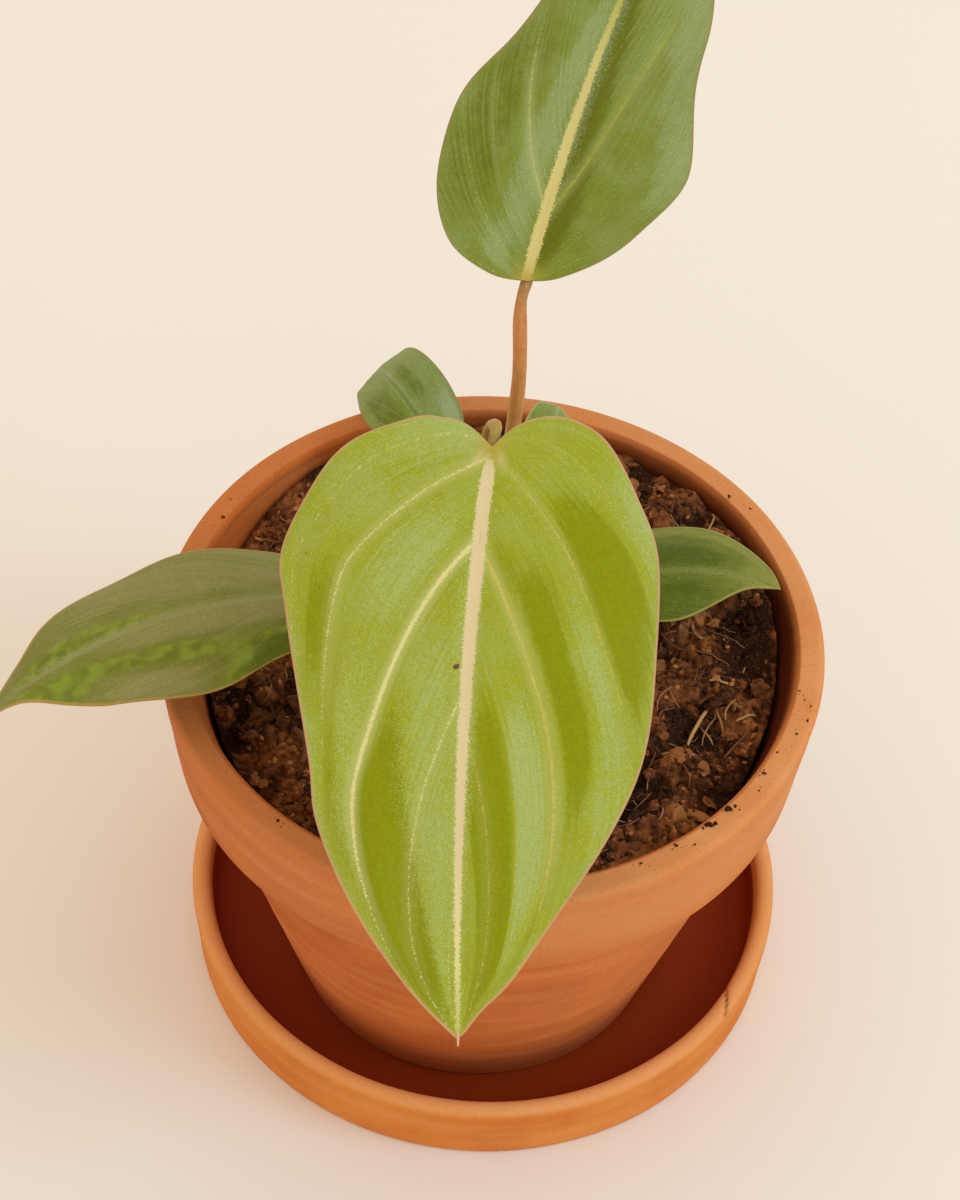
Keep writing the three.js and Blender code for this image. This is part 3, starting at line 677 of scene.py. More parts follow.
def build_turned(part, profile, swell, centre, fields):
    """A thrown piece: the profile turned about an upright axis and swollen along its normals."""
    radius, height = profile.T
    closed = np.allclose(profile[0], profile[-1])
    step = np.gradient(profile, axis=0)
    if closed:
        step[0] = step[-1] = (profile[1] - profile[-2]) / 2
    step = unit(step)
    angles = around(len(swell))[:, None]
    out = radius + swell * step[:, 1]
    up = height - swell * step[:, 0]
    points = np.stack([centre[0] + out * np.cos(angles), centre[1] + out * np.sin(angles), up], -1)
    index = np.arange(swell.size).reshape(swell.shape)
    for pole in np.flatnonzero(radius < 1e-6):
        index[:, pole] = index[0, pole]
    if closed:
        index[:, -1] = index[:, 0]
    index = np.vstack([index, index[:1]])
    values = {key: fields.get(key, np.zeros(swell.shape)) for key in CLAY_FIELDS}
    clay = f"{part}_clay"
    add_piece(f"{part}_turned", points, grid_faces(index), clay_paint(clay, CLAYS[part]), part, values)


def wobble(angle, radius, height, size, seed):
    """Slow noise over a thrown surface, between about -1 and 1."""
    places = np.stack([radius * np.cos(angle) / size, radius * np.sin(angle) / size,
                       height / size + seed], -1)
    return np.array([noise.noise(Vector(place)) for place in places.reshape(-1, 3)]).reshape(angle.shape)


def potter_lines(angle, height, seed):
    """Shallow rings that the potter's fingers left."""
    drift = 0.5 * np.sin(angle + seed) + 0.3 * np.sin(2 * angle + 2 * seed)
    wide = np.sin(height / 1.9 + drift + seed)
    narrow = np.sin(height / 0.83 - 0.7 * drift)
    beat = 0.6 + 0.4 * np.sin(height / 7.3 + seed)
    return beat * (0.6 * wide + 0.4 * narrow)


def saucer_profile():
    lip = SAUCER.wall / 2
    edge = SAUCER.edge
    fillet = SAUCER.fillet
    inner = SAUCER.foot - SAUCER.wall
    base = arc((SAUCER.foot - edge, edge), edge, -90, 0, 4)
    rim = arc((SAUCER.rim - lip, SAUCER.height - lip), lip, 0, 180, 14)
    bend = arc((inner - fillet, SAUCER.floor + fillet), fillet, 0, -90, 8)
    return refine([(0, 0), *base, *rim, *bend, (0, SAUCER.floor)], SAUCER.pitch)


def pot_inside(height):
    """Radius of the pot's inner wall at a height."""
    top = POT.rim - POT.lip
    share = (height - POT.floor_top) / (POT.top - POT.floor_top)
    return POT.inner_foot + (top - POT.inner_foot) * share


def pot_profile():
    radius = POT.rim
    turn = POT.lip_round
    under_lip = POT.top - turn
    edge = POT.edge
    low = POT.collar_foot
    foot = arc((POT.foot - edge, POT.stands_at + edge), edge, -90, 0, 4)
    bead = arc((POT.collar_radius - edge, low + edge), edge, -90, 0, 5)
    outer = arc((radius - turn, under_lip), turn, 0, 90, 8)
    inner = arc((radius - POT.lip + turn, under_lip), turn, 90, 180, 8)
    wall = [(pot_inside(level), level) for level in (low, POT.floor_top)]
    drain = [(POT.drain, level) for level in (POT.floor_top, POT.stands_at)]
    return refine([drain[1], *foot, (POT.shoulder, low), *bead, *outer, *inner, *wall, *drain],
                  POT.pitch)


# A small old crack over the saucer's rim, at the right of the front
CRACK = Form(angle=-29.8, middle=60, lean=1.6, half_width=0.55, depth=0.8, span=(57.6, 62),
             rise=(13.2, 14.6))


def crack_share(angle, radius, height):
    """1 in the middle of the crack, 0 away from it."""
    middle = np.radians(CRACK.angle) - (radius - CRACK.middle) * np.radians(CRACK.lean)
    away = np.abs(np.angle(np.exp(1j * (angle - middle)))) * radius
    ragged = CRACK.half_width * (1 + 0.35 * np.sin(5 * radius))
    near = np.clip(1 - away / ragged, 0, 1)
    return near * inside_band(radius, CRACK.span, 0.4) * smooth_step(height, *CRACK.rise)


SAUCER_RELIEF = Form(lines=0.07, inner_rings=0.10, ring_pitch=1.6, rings_end=56, slow=0.14, slow_size=24)


def build_saucer():
    profile = saucer_profile()
    angle, radius, height = thrown_places(profile, SAUCER.sides)
    relief = SAUCER_RELIEF
    crack = crack_share(angle, radius, height)
    lines = potter_lines(angle, height, 0.7) * smooth_step(height, 0.5, 2.5)
    on_floor = (radius < relief.rings_end) & (height > SAUCER.floor / 2)
    inner_rings = np.sin(radius / relief.ring_pitch) * on_floor
    slow = wobble(angle, radius, height, relief.slow_size, 3.0)
    swell = (relief.lines * lines + relief.inner_rings * inner_rings + relief.slow * slow
             - CRACK.depth * crack)
    fields = {
        "inside": (radius < SAUCER.foot - SAUCER.wall + 0.8) & (height > 4),
        # The rim's top is paler: painted light where it faces up
        "bloom_and_light": 0.8 * smooth_step(height, 14.3, 16.2),
        "mark": crack,
    }
    build_turned("saucer", profile, swell, (0, 0), fields)


# Grooves round the outside of the pot: height, sway up and down, its turn, half width and depth
POT_GROOVES = [(97.6, 0.25, 1, 0.5, 0.13), (62, 0.5, 0, 1.1, 0.10)]
POT_RELIEF = Form(lines=0.075, inner_share=0.6, slow=0.14, slow_size=26, starts=(7.5, 10),
                  ends=(100.5, 102.5))


def pot_relief(angle, radius, height):
    relief = POT_RELIEF
    shell = radius > pot_inside(height) + 2
    lines = potter_lines(angle, height, 2.1) * np.where(shell, 1.0, relief.inner_share)
    soft_ends = smooth_step(height, *relief.starts) * (1 - smooth_step(height, *relief.ends))
    slow = wobble(angle, radius, height, relief.slow_size, 8.0)
    grooves = sum(depth * bell(height - level - sway * np.sin(angle + turn), width)
                  for level, sway, turn, width, depth in POT_GROOVES)
    return relief.lines * lines * soft_ends + relief.slow * slow - np.where(shell, grooves, 0)


def build_pot():
    profile = pot_profile()
    places = thrown_places(profile, POT.sides)
    angle, radius, height = places
    inside = radius < pot_inside(height) + 1.2
    # Paler collar and lip: partly efflorescence, partly painted light on the lip's top and the lit side
    collar_and_lip = 0.25 + 0.5 * smooth_step(height, 74, 88) + 0.25 * smooth_step(height, 101, 103)
    fields = {
        "inside": inside,
        "bloom_and_light": collar_and_lip * (1 - 0.8 * inside) * (0.8 + 0.4 * np.cos(angle + 0.3)),
        # Painted shade: deeper colour towards the foot and on the left, away from the light
        "foot": np.maximum(1 - smooth_step(height, 10, 48), 0.4 * np.maximum(0, np.cos(angle - 3.9))),
        # Painted shade: the dark band inside reaches higher on the wall's right, towards the back, where
        # shade falls
        "shade_rise": 5 * np.cos(angle - 0.5),
    }
    build_turned("pot", profile, pot_relief(*places), POT.centre, fields)


# Soil

# Clods, crumbs and chips. crumbs is how many small crumbs sit on each.
CRUMB_TYPES = [
    Form(count=170, size=(1.0, 2.4), squash=(0.5, 0.9), tone=(0.3, 0.75), round=3, crumbs=12),
    Form(count=2600, size=(0.3, 0.8), squash=(0.4, 1.0), tone=(0.1, 1.0), round=1, crumbs=0),
    Form(count=240, size=(0.9, 2.2), squash=(0.16, 0.4), tone=(0.35, 1.0), round=2, crumbs=0),
]
FIBRES = Form(count=760, length=(2, 10), radius=(0.07, 0.22))
SOIL_SEED = 41

# Straws that lie on the soil at the right: both ends from the pot's axis, radius and tone
STRAWS = [
    ((43.7, -6.9), (39.1, -16.5), 0.42, 0.95),
    ((44.5, -8.6), (46.1, -15.0), 0.30, 0.72),
    ((48.2, -12.3), (52.1, -10.5), 0.32, 0.80),
    ((34.1, -19.4), (40.3, -20.4), 0.34, 0.82),
    ((42.9, -3.2), (46.6, -3.2), 0.30, 0.90),
    ((39.2, 9.3), (41.2, 5.6), 0.34, 0.78),
    ((46.0, -19.5), (50.5, -14.0), 0.22, 0.60),
    ((-37.0, -20.5), (-35.0, -28.0), 0.9, 0.55),
]

# Specks of soil on the rim: angle and radius about the pot's axis, and size
RIM_SPECKS = [
    (-45.4, 60.8, 1.3), (-44.4, 61.4, 0.7), (-40.4, 60.6, 1.2), (-39.0, 61.2, 0.6), (-53.0, 60.9, 0.8),
    (-9.0, 60.6, 0.45), (-10.8, 62.0, 0.4), (-11.9, 63.4, 0.4), (-15.3, 63.6, 0.45), (-18.8, 62.6, 0.5),
    (-24.2, 60.9, 0.4), (-29.7, 60.9, 0.7), (-50.2, 62.6, 0.5), (-60.5, 61.2, 0.5), (-33.5, 62.4, 0.35),
    (154.5, 61.0, 0.8), (150.0, 62.2, 0.4), (171.0, 61.6, 0.4), (-128.0, 61.5, 0.5),
    (41.0, 61.0, 0.6), (36.5, 62.5, 0.4), (-82.0, 61.7, 0.35), (-165.0, 62.4, 0.45),
]
SPECKS_WITHIN = (60.6, 63.6)


def soil_bank(x, y):
    """How much higher the soil lies towards the back of the wall."""
    heading = math.radians(SOIL.bank_heading)
    return SOIL.bank * smooth_step(x * math.cos(heading) + y * math.sin(heading), *SOIL.bank_rise)


def soil_reach(angles):
    """How far the soil reaches from the pot's axis: its lowest lumps stay clear of the wall."""
    wall = pot_inside(SOIL.level)
    bank = soil_bank(wall * np.cos(angles), wall * np.sin(angles))
    return pot_inside(SOIL.level + bank - 2 * SOIL.lump) - SOIL.gap


def soil_top(x, y):
    """Height of the soil's surface, as the solid has it."""
    share = np.hypot(x, y) / soil_reach(np.arctan2(y, x))
    broad = np.sin(x * 0.31 + 1) * np.cos(y * 0.27)
    fine = np.sin(x * 0.55 - y * 0.62)
    mound = SOIL.mound * (1 - share * share)
    return SOIL.level + soil_bank(x, y) + mound + SOIL.lump * (broad + 0.6 * fine)


def soil_texture(x, y):
    """Clumps and hollows on top of that surface."""
    rough = np.empty(x.size)
    for k, (px, py) in enumerate(zip(x.ravel(), y.ravel())):
        near, second = noise.voronoi(Vector((px * 0.24, py * 0.24, 0.0)))[0][:2]
        dome = min(1.0, second - near) - 0.35
        small = noise.fractal(Vector((px * 0.8, py * 0.8, 4.0)), 0.8, 2.1, 4)
        broad = noise.noise(Vector((px * 0.09, py * 0.09, 9.0)))
        rough[k] = min(1.8, 1.4 * dome + 1.1 * small + 3.0 * broad)
    return rough.reshape(x.shape)


def soil_place(rng, inset, count):
    """Seeded places spread evenly over the soil, some way in from its edge."""
    share = np.sqrt(rng.random(count))
    angle = 2 * np.pi * rng.random(count)
    radius = share * (soil_reach(angle) - inset)
    return radius * np.cos(angle), radius * np.sin(angle)


def round_base(level):
    """Points and faces of a ball of triangles, ready to be squashed and roughened."""
    work = bmesh.new()
    bmesh.ops.create_icosphere(work, subdivisions=level, radius=1)
    points = np.array([v.co[:] for v in work.verts])
    faces = [[v.index for v in face.verts] for face in work.faces]
    work.free()
    return points, faces


def lumpy(rng, base, size, squash):
    """A rough crumb: the ball roughened by a few random waves, then squashed and turned."""
    waves = rng.normal(size=(5, 3)) * 2.2
    phases = rng.random(5) * 2 * np.pi
    swell = 1 + 0.13 * np.sin(base @ waves.T + phases).sum(axis=1)
    swell += 0.06 * np.sin(base @ (3.1 * waves.T) + 2 * phases).sum(axis=1)
    scale = size * np.array([1.0, 0.6 + 0.4 * rng.random(), squash])
    axis = Vector(rng.normal(size=3) * (0.5, 0.5, 1.6)).normalized()
    turn = np.array(Matrix.Rotation(2 * np.pi * rng.random(), 3, axis))
    return (base * swell[:, None] * scale) @ turn.T


def build_soil_bed():
    """The soil's body: rings of its rough top, a few rings down its side and a flat foot."""
    angles = around(SOIL.sides)
    reach = soil_reach(angles)
    radius = reach * np.linspace(0, 1, SOIL.rings + 1)[1:, None]
    x = radius * np.cos(angles)
    y = radius * np.sin(angles)
    texture = soil_texture(x, y)
    fade = 1 - 0.7 * smooth_step(radius, reach - 4, reach)
    top = np.stack([x, y, soil_top(x, y) + texture * fade], -1)

    foot = pot_inside(POT.floor_top) - SOIL.gap
    low = POT.floor_top + SOIL.gap
    down = np.array([0.95, 0.7, 0.4, 0])[:, None]
    ring = foot + (reach - foot) * down
    wall = np.stack([ring * np.cos(angles), ring * np.sin(angles), low + (top[-1, :, 2] - low) * down], -1)
    middle = (0, 0, float(soil_top(np.zeros(1), np.zeros(1))[0]))
    points = np.vstack([top.reshape(-1, 3), wall.reshape(-1, 3), [middle, (0, 0, low)]]) + POT_AXIS
    tone = np.full(len(points), 0.4)
    # Painted shade and light: the bed's tone is low in its hollows and high on its clumps
    tone[:texture.size] = np.clip(0.40 + 0.30 * texture.ravel(), 0, 1)
    faces = grid_faces(ring_index(len(top) + len(wall), SOIL.sides)[:, ::-1])
    add_piece("soil_bed", points, faces, soil_paint("soil_ground", 2.6), "soil", {"tone": tone})


def build_crumbs(rng):
    """Clods with crumbs on them, loose crumbs and flat chips."""
    heap = Heap()
    tiny, tiny_faces = round_base(1)
    for kind in CRUMB_TYPES:
        base, faces = round_base(kind.round)
        xs, ys = soil_place(rng, 1.2, kind.count)
        texture = soil_texture(xs, ys)
        levels = soil_top(xs, ys) + texture
        limits = soil_reach(np.arctan2(ys, xs))
        # Painted shade: crumbs in hollows get a lower tone, those on clumps a little higher
        hollow_shade = np.clip(0.2 * texture, -0.4, 0.15)
        for px, py, level, limit, shift in zip(xs, ys, levels, limits, hollow_shade):
            size = rng.uniform(*kind.size)
            shape = lumpy(rng, base, size, rng.uniform(*kind.squash))
            inward = min(1.0, (limit - 0.6 * size) / max(1.0, math.hypot(px, py)))
            place = POT_AXIS + (px * inward, py * inward, level + 0.25 * size)
            tone = max(0.0, rng.uniform(*kind.tone) + shift)
            heap.add(shape + place, faces, tone)
            for spot in rng.integers(len(shape), size=kind.crumbs):
                small = lumpy(rng, tiny, rng.uniform(0.25, 0.6), rng.uniform(0.4, 1.0))
                small_tone = float(np.clip(tone + rng.uniform(-0.25, 0.3), 0, 1))
                heap.add(small + place + 0.95 * shape[spot], tiny_faces, small_tone)
    heap.build("soil_crumbs", soil_paint("soil_crumb", 1.2), smooth=False)


def add_fibre(heap, rng, start, end, thickness, tone):
    """A bent fibre that lies over the clumps."""
    steps = np.linspace(0, 1, 7)
    start = np.array(start)
    end = np.array(end)
    span = np.linalg.norm(end - start)
    aside = np.array([start[1] - end[1], end[0] - start[0]]) / span
    bend = rng.normal() * 0.12 * span
    flat = start + (end - start) * steps[:, None] + aside * (bend * 4 * steps * (1 - steps))[:, None]
    far = np.linalg.norm(flat, axis=1)
    reach = soil_reach(np.arctan2(flat[:, 1], flat[:, 0]))
    flat *= np.minimum(1, (reach - 0.8) / np.maximum(far, 1))[:, None]
    ground = soil_top(flat[:, 0], flat[:, 1]) + soil_texture(flat[:, 0], flat[:, 1])
    rest = np.polyval(np.polyfit(steps, ground, 1), steps)
    heights = 0.35 * ground + 0.65 * rest + 0.75 + 0.5 * thickness
    radii = thickness * (0.45 + 0.55 * np.sin(np.pi * (0.12 + 0.76 * steps)))
    points, faces, _ = tube(np.column_stack([flat, heights]) + POT_AXIS, radii, 6)
    heap.add(points, faces, tone)


def build_fibres(rng):
    """Loose fibres all over the soil, and the straws."""
    heap = Heap()
    for px, py in zip(*soil_place(rng, 5, FIBRES.count)):
        length = rng.uniform(*FIBRES.length) * rng.uniform(0.4, 1)
        heading = rng.uniform(0, 2 * np.pi)
        end = (px + length * math.cos(heading), py + length * math.sin(heading))
        add_fibre(heap, rng, (px, py), end, rng.uniform(*FIBRES.radius), rng.uniform(0, 0.8))
    for start, end, thickness, tone in STRAWS:
        add_fibre(heap, rng, start, end, thickness, tone)
    heap.build("soil_fibres", fibre_paint("soil_fibre"))


def build_rim_specks(rng):
    """Each speck on the rim lies with three smaller ones near it."""
    heap = Heap()
    base, faces = round_base(2)
    for angle, ring, size in RIM_SPECKS:
        for stray in (0, 1, 1, 1):
            share = size * rng.uniform(0.25, 0.5) if stray else size
            turn = math.radians(angle) + stray * rng.normal() * 0.02
            out = np.clip(ring + stray * rng.normal() * 0.7, *SPECKS_WITHIN)
            place = POT_AXIS + (out * math.cos(turn), out * math.sin(turn), POT.top + 0.12 * share)
            heap.add(lumpy(rng, base, share * 0.62, 0.45) + place, faces, rng.uniform(0.05, 0.4))
    heap.build("rim_specks", soil_paint("rim_soil", 1.0))


def build_soil():
    build_soil_bed()
    rng = np.random.default_rng(SOIL_SEED)
    build_crumbs(rng)
    build_fibres(rng)
    build_rim_specks(rng)


# Creeping stem

def build_rhizome():
    start = np.array(RHIZOME.start, float)
    axis = np.array(RHIZOME.end, float) - start
    length = np.linalg.norm(axis)
    at = length * np.linspace(0, 1, RHIZOME.rings + 1)
    from_end = np.minimum(at, length - at)
    blunt = np.sqrt(np.clip(1 - (1 - np.minimum(1, from_end / RHIZOME.taper)) ** 2, 1e-4, 1))
    scar = np.maximum(0, np.cos(2 * np.pi * at / RHIZOME.scar_pitch)) ** 3
    lumps = np.array([[noise.noise(Vector((a / 3, 2 * math.cos(t), 2 * math.sin(t))))
                       for t in around(RHIZOME.sides)] for a in at])
    base = (RHIZOME.radius + RHIZOME.scar * scar) * blunt
    points, faces, _ = tube(start + axis * (at / length)[:, None] + POT_AXIS,
                            base[:, None] + 0.3 * lumps * blunt[:, None], RHIZOME.sides)
    ring = np.append(np.repeat(scar, RHIZOME.sides), [0, 0])
    skin = rhizome_paint("rhizome_skin")
    add_piece("rhizome_skin", points, faces, skin, "rhizome", {"ring": ring})


# Leaves

STATIONS = 480
ROW_EASE = 1.6
COLUMN_EASE = 1.2
SWEEP = 1.2
FOLD_ROUND = 2
WAVE_FADE = 6
LEFT_PHASE = 0.37

# Fine relief of a blade. Quilting and ridges keep off the midrib, the rim and the base.
SKIN = Form(off_rib=(0.4, 4), off_rim=(0, 3.5), off_base=(0.05, 0.35), ridge=0.02, ridges=6,
            groove=0.20, groove_width=0.55, groove_below=1.3, channel=0.22, channel_share=1.3)

# Colours near the midrib and at the notch. reach is how far the halo of pale dots, painted glints,
# goes, right and left.
HALO = Form(reach=(3.2, 1.5), on_width=34, rows=(0.35, 0.95), most=0.75)
NOTCH = Form(fan_rows=(0.08, 0.125), fan_edges=(0.11, 0.18), joint=2.8, late_rib=2.4)
MARKS_SEED = 7


def direction(heading, pitch):
    return np.stack([np.cos(pitch) * np.cos(heading), np.cos(pitch) * np.sin(heading), np.sin(pitch)], -1)


def midrib_axes(leaf):
    """Points along the midrib and its three axes there: along, side and up."""
    def turn(angles, share):
        first, last = angles
        return np.radians(first + (last - first) * share)

    share = np.linspace(0, 1, STATIONS + 1)
    half = share[:-1] + 0.5 / STATIONS
    along = direction(turn(leaf.heading, share), turn(leaf.pitch, share))
    steps = direction(turn(leaf.heading, half), turn(leaf.pitch, half)) * leaf.length / STATIONS
    at = np.array(leaf.base) + np.vstack([np.zeros(3), np.cumsum(steps, axis=0)])
    heading = turn(leaf.heading, share)
    level = np.stack([np.sin(heading), -np.cos(heading), np.zeros_like(share)], -1)
    roll = turn(leaf.roll, share)[:, None]
    side = level * np.cos(roll) + np.cross(level, along) * np.sin(roll)
    return at, along, side, np.cross(side, along)


def station(leaf, axes, share):
    """The midrib's point and axes at shares of its length. Behind the stalk they run straight on."""
    inside = np.clip(share, 0, 1) * STATIONS
    low = np.minimum(inside.astype(int), STATIONS - 1)
    part = (inside - low)[..., None]
    at, along, side, up = (axis[low] * (1 - part) + axis[low + 1] * part for axis in axes)
    return at + along * ((share - inside / STATIONS) * leaf.length)[..., None], along, side, up


def blade_middle(leaf, axes, share, across, edge, row):
    """The blade's middle surface, as the solid has it."""
    at, _, side, up = station(leaf, axes, share)
    height, count, phase = leaf.wave
    turns = count * row + phase + (across < 0) * LEFT_PHASE
    ends = np.minimum(1, WAVE_FADE * row * (1 - row))
    ripple = height * edge ** 3 * ends * np.sin(2 * np.pi * turns)
    soft = np.hypot(across, FOLD_ROUND) - FOLD_ROUND
    lift = leaf.fold * soft - leaf.sag * across ** 2 / leaf.half_width + ripple
    return at + side * across[..., None] + up * lift[..., None]


def blade_normal(leaf, axes, share, across, edge, row):
    """Points of the middle surface and its normals there."""
    step = 0.2
    here = blade_middle(leaf, axes, share, across, edge, row)
    ahead = blade_middle(leaf, axes, share + step / leaf.length, across, edge, row) - here
    right = blade_middle(leaf, axes, share, across + step, edge, row) - here
    return here, unit(np.cross(right, ahead))


def lanes(leaf, row, edge, side):
    """Over the blade: a number that is whole along each main vein, how bold it is, and the flow."""
    lane, bold, flow = np.zeros((3, *row.shape))
    for sign, veins in leaf.veins.items():
        here = row - veins.slope * edge - veins.steep * np.maximum(0, edge - 0.65) ** 2
        flows = veins.flows
        far = 4 * (flows[1] - flows[0])
        count = len(flows)
        number = np.interp(here, [flows[0] - far, *flows, flows[-1] + far],
                           [-3, *range(1, count + 1), count + 4])
        boldness = np.interp(np.round(number), range(-1, count + 3),
                             [0.12, 0.22, *veins.strengths, 0.15, 0.1])
        boldness = boldness * (1 - 0.4 * edge) * (1 - 0.9 * smooth_step(edge, *veins.fade))
        mine = side == sign
        for whole, half in ((lane, number), (bold, boldness), (flow, here)):
            whole[mine] = half[mine]
    return lane, bold, flow


def band_share(bands, row, edge, side, flow):
    """Soft patches: painted sheen or painted glints as dots above 0, deep green below 0."""
    total = np.zeros(row.shape)
    for sign, flows, rows, edges, share in bands:
        patch = inside_band(flow, flows, 0.04) * inside_band(row, rows, 0.08)
        total += share * patch * inside_band(edge, edges, 0.10) * (side == sign)
    return np.clip(total, -1, 1)


def lane_pitch(points, lane):
    """Millimetres from one lane to the next, square to the lanes."""
    rows, columns = (np.gradient(points, axis=axis) for axis in (0, 1))
    by_row, by_column = np.gradient(lane)
    a = (rows * rows).sum(-1)
    b = (rows * columns).sum(-1)
    c = (columns * columns).sum(-1)
    spread = np.maximum(a * c - b * b, 1e-9)
    slope = (c * by_row ** 2 - 2 * b * by_row * by_column + a * by_column ** 2) / spread
    return np.clip(1 / np.sqrt(np.maximum(slope, 1e-6)), 2, 60)


def blade_grid(leaf, rows, columns):
    """A grid over the blade: row and edge from 0 to 1, side, share of the midrib, across and width."""
    part = np.linspace(-1, 1, 2 * columns + 1)
    row, edge, side = np.broadcast_arrays(np.linspace(0, 1, rows + 1)[:, None], np.abs(part) ** COLUMN_EASE,
                                          np.where(part < 0, -1, 1))
    size = (leaf.length, leaf.half_width)
    right, left = (smooth_curve(np.array(MARGIN[name]) * size, row[:, 0], 0)[:, None]
                   for name in leaf.margins)
    outline = np.where(side[..., None] > 0, right, left)
    width = outline[..., 1]
    notch = right[0, 0, 0] / leaf.length
    middle = notch + (1 - notch) * row ** ROW_EASE
    share = middle + (outline[..., 0] / leaf.length - middle) * edge ** SWEEP
    return row, edge, side, middle, share, side * width * edge, width


def blade_skin(leaf, axes, rows, columns, under):
    """One face of the blade: its points on a grid of rows and columns, and its fields."""
    row, edge, side, middle, share, across, width = blade_grid(leaf, rows, columns)
    here, normal = blade_normal(leaf, axes, share, across, edge, row)
    lane, bold, flow = lanes(leaf, row, edge, side)
    pitch = lane_pitch(here, lane)
    rim = (1 - edge) * np.maximum(width, 0.5)
    rib_half = np.interp(middle, RIB_SHARES, leaf.rib)
    from_vein = np.abs(lane - np.round(lane)) * pitch
    from_notch = np.linalg.norm(here - here[0, 0], axis=-1)

    away = (smooth_step(np.abs(across), *SKIN.off_rib) * smooth_step(rim, *SKIN.off_rim)
            * smooth_step(row, *SKIN.off_base))
    quilt = leaf.quilt * away * 0.5 * (1 - np.cos(2 * np.pi * lane))
    groove = SKIN.groove * bold * bell(from_vein, SKIN.groove_width) * smooth_step(rim, 0, 3)
    half = SHEET.margin + (SHEET.half - SHEET.margin) * smooth_step(rim, 0, 2.5)
    if under:
        rib = SHEET.rib_height * (1 - middle) * (middle > SHEET.rib_start)
        lift = quilt - half - rib * bell(across, SHEET.rib_spread) - SKIN.groove_below * groove
    else:
        ridges = SKIN.ridge * away * np.cos(2 * np.pi * SKIN.ridges * lane)
        channel = SKIN.channel * bell(across, SKIN.channel_share * rib_half)
        lift = quilt + ridges + half - groove - channel * smooth_step(row, 0.0, 0.2) * (1 - row)

    reach = np.where(side > 0, *HALO.reach) * leaf.half_width / HALO.on_width
    near_rib = np.clip(1 - (np.abs(across) - rib_half) / reach, 0, 1)
    halo = HALO.most * near_rib * inside_band(row, HALO.rows, 0.15)
    fan = inside_band(row, NOTCH.fan_rows, 0.05) * inside_band(edge, NOTCH.fan_edges, 0.05)
    fields = {
        "lane": lane, "bold": bold, "pitch": pitch, "across": across, "rim": rim,
        "rib": rib_half - leaf.late_rib * bell(from_notch, NOTCH.late_rib),
        # sheen holds painted sheen above 0 and deep green below; halo the crowd of painted glints
        "sheen": band_share(leaf.bands, row, edge, side, flow),
        "halo": np.maximum(halo, band_share(leaf.dots, row, edge, side, flow)),
        "joint": bell(from_notch, NOTCH.joint),
        "fan": leaf.fan * fan,
        "under": np.full(row.shape, float(under)),
    }
    return here + normal * lift[..., None], fields


def skin_index(shape, start):
    """Vertex numbers of a skin whose first and last rows are single points."""
    index = start + np.arange(shape[0] * shape[1]).reshape(shape)
    index[0] = index[0, 0]
    index[-1] = index[-1, 0]
    return index


def build_marks(name, leaf, top):
    """Small marks on a blade, such as a crumb of soil."""
    rng = np.random.default_rng(MARKS_SEED)
    base, faces = round_base(2)
    heap = Heap()
    rows, columns, _ = leaf.grid
    for side, row, edge, length, width, tone in leaf.marks:
        i = round(row * rows)
        j = columns + round(side * columns * edge ** (1 / COLUMN_EASE))
        ahead = top[i + 1, j] - top[i - 1, j]
        beside = top[i, j + 1] - top[i, j - 1]
        axes = unit(np.stack([ahead, beside, np.cross(beside, ahead)]))
        shape = lumpy(rng, base, 1.0, 1.0) * (0.5 * length, 0.5 * width, 0.22 * width)
        heap.add(shape @ axes + top[i, j] + POT_AXIS, faces, tone)
    heap.build(f"marks_{name}", fibre_paint(f"marks_{name}_skin"))


def build_blade(name, leaf, axes):
    """The upper and lower skin, joined round the margin."""
    rows, above, below = leaf.grid
    top, top_fields = blade_skin(leaf, axes, rows, above, False)
    base, base_fields = blade_skin(leaf, axes, rows, below, True)
    upper = skin_index(top.shape[:2], 0)
    lower = skin_index(base.shape[:2], upper.size)
    faces = grid_faces(upper) + grid_faces(lower[:, ::-1])
    faces += grid_faces(np.column_stack([upper[:, -1], lower[:, -1]]))
    faces += grid_faces(np.column_stack([lower[:, 0], upper[:, 0]]))
    points = np.vstack([top.reshape(-1, 3), base.reshape(-1, 3)]) + POT_AXIS
    fields = {key: np.concatenate([top_fields[key].ravel(), base_fields[key].ravel()])
              for key in top_fields}
    material = leaf_paint(f"{name}_leaf", leaf.colours, VELVET_GLINTS[leaf.slot])
    add_piece(f"blade_{name}", points, faces, material, f"leaf_{name}", fields)
    if leaf.marks:
        build_marks(name, leaf, top)


def stalk_radii(share, blade):
    """Radii of a stalk at shares of its length. blade is the share that runs under the midrib."""
    stem = np.minimum(1, share / (1 - blade))
    end = np.maximum(0, (share - 1 + blade) / blade)
    radius = STALK.foot + (STALK.top - STALK.foot) * stem + (STALK.end - STALK.top) * end
    swollen = 0.05 * bell(share - 1 + 1.6 * blade, 0.8 * blade)
    neck = 1 - 0.2 * bell(stem - 0.97, 0.035)
    angles = around(STALK.sides)
    ribs = 0.03 * np.cos(8 * angles) + 0.02 * np.cos(3 * angles + 1)
    return ((radius + swollen) * neck)[:, None] * (1 + ribs) * (1 + 0.02 * np.sin(40 * share))[:, None]


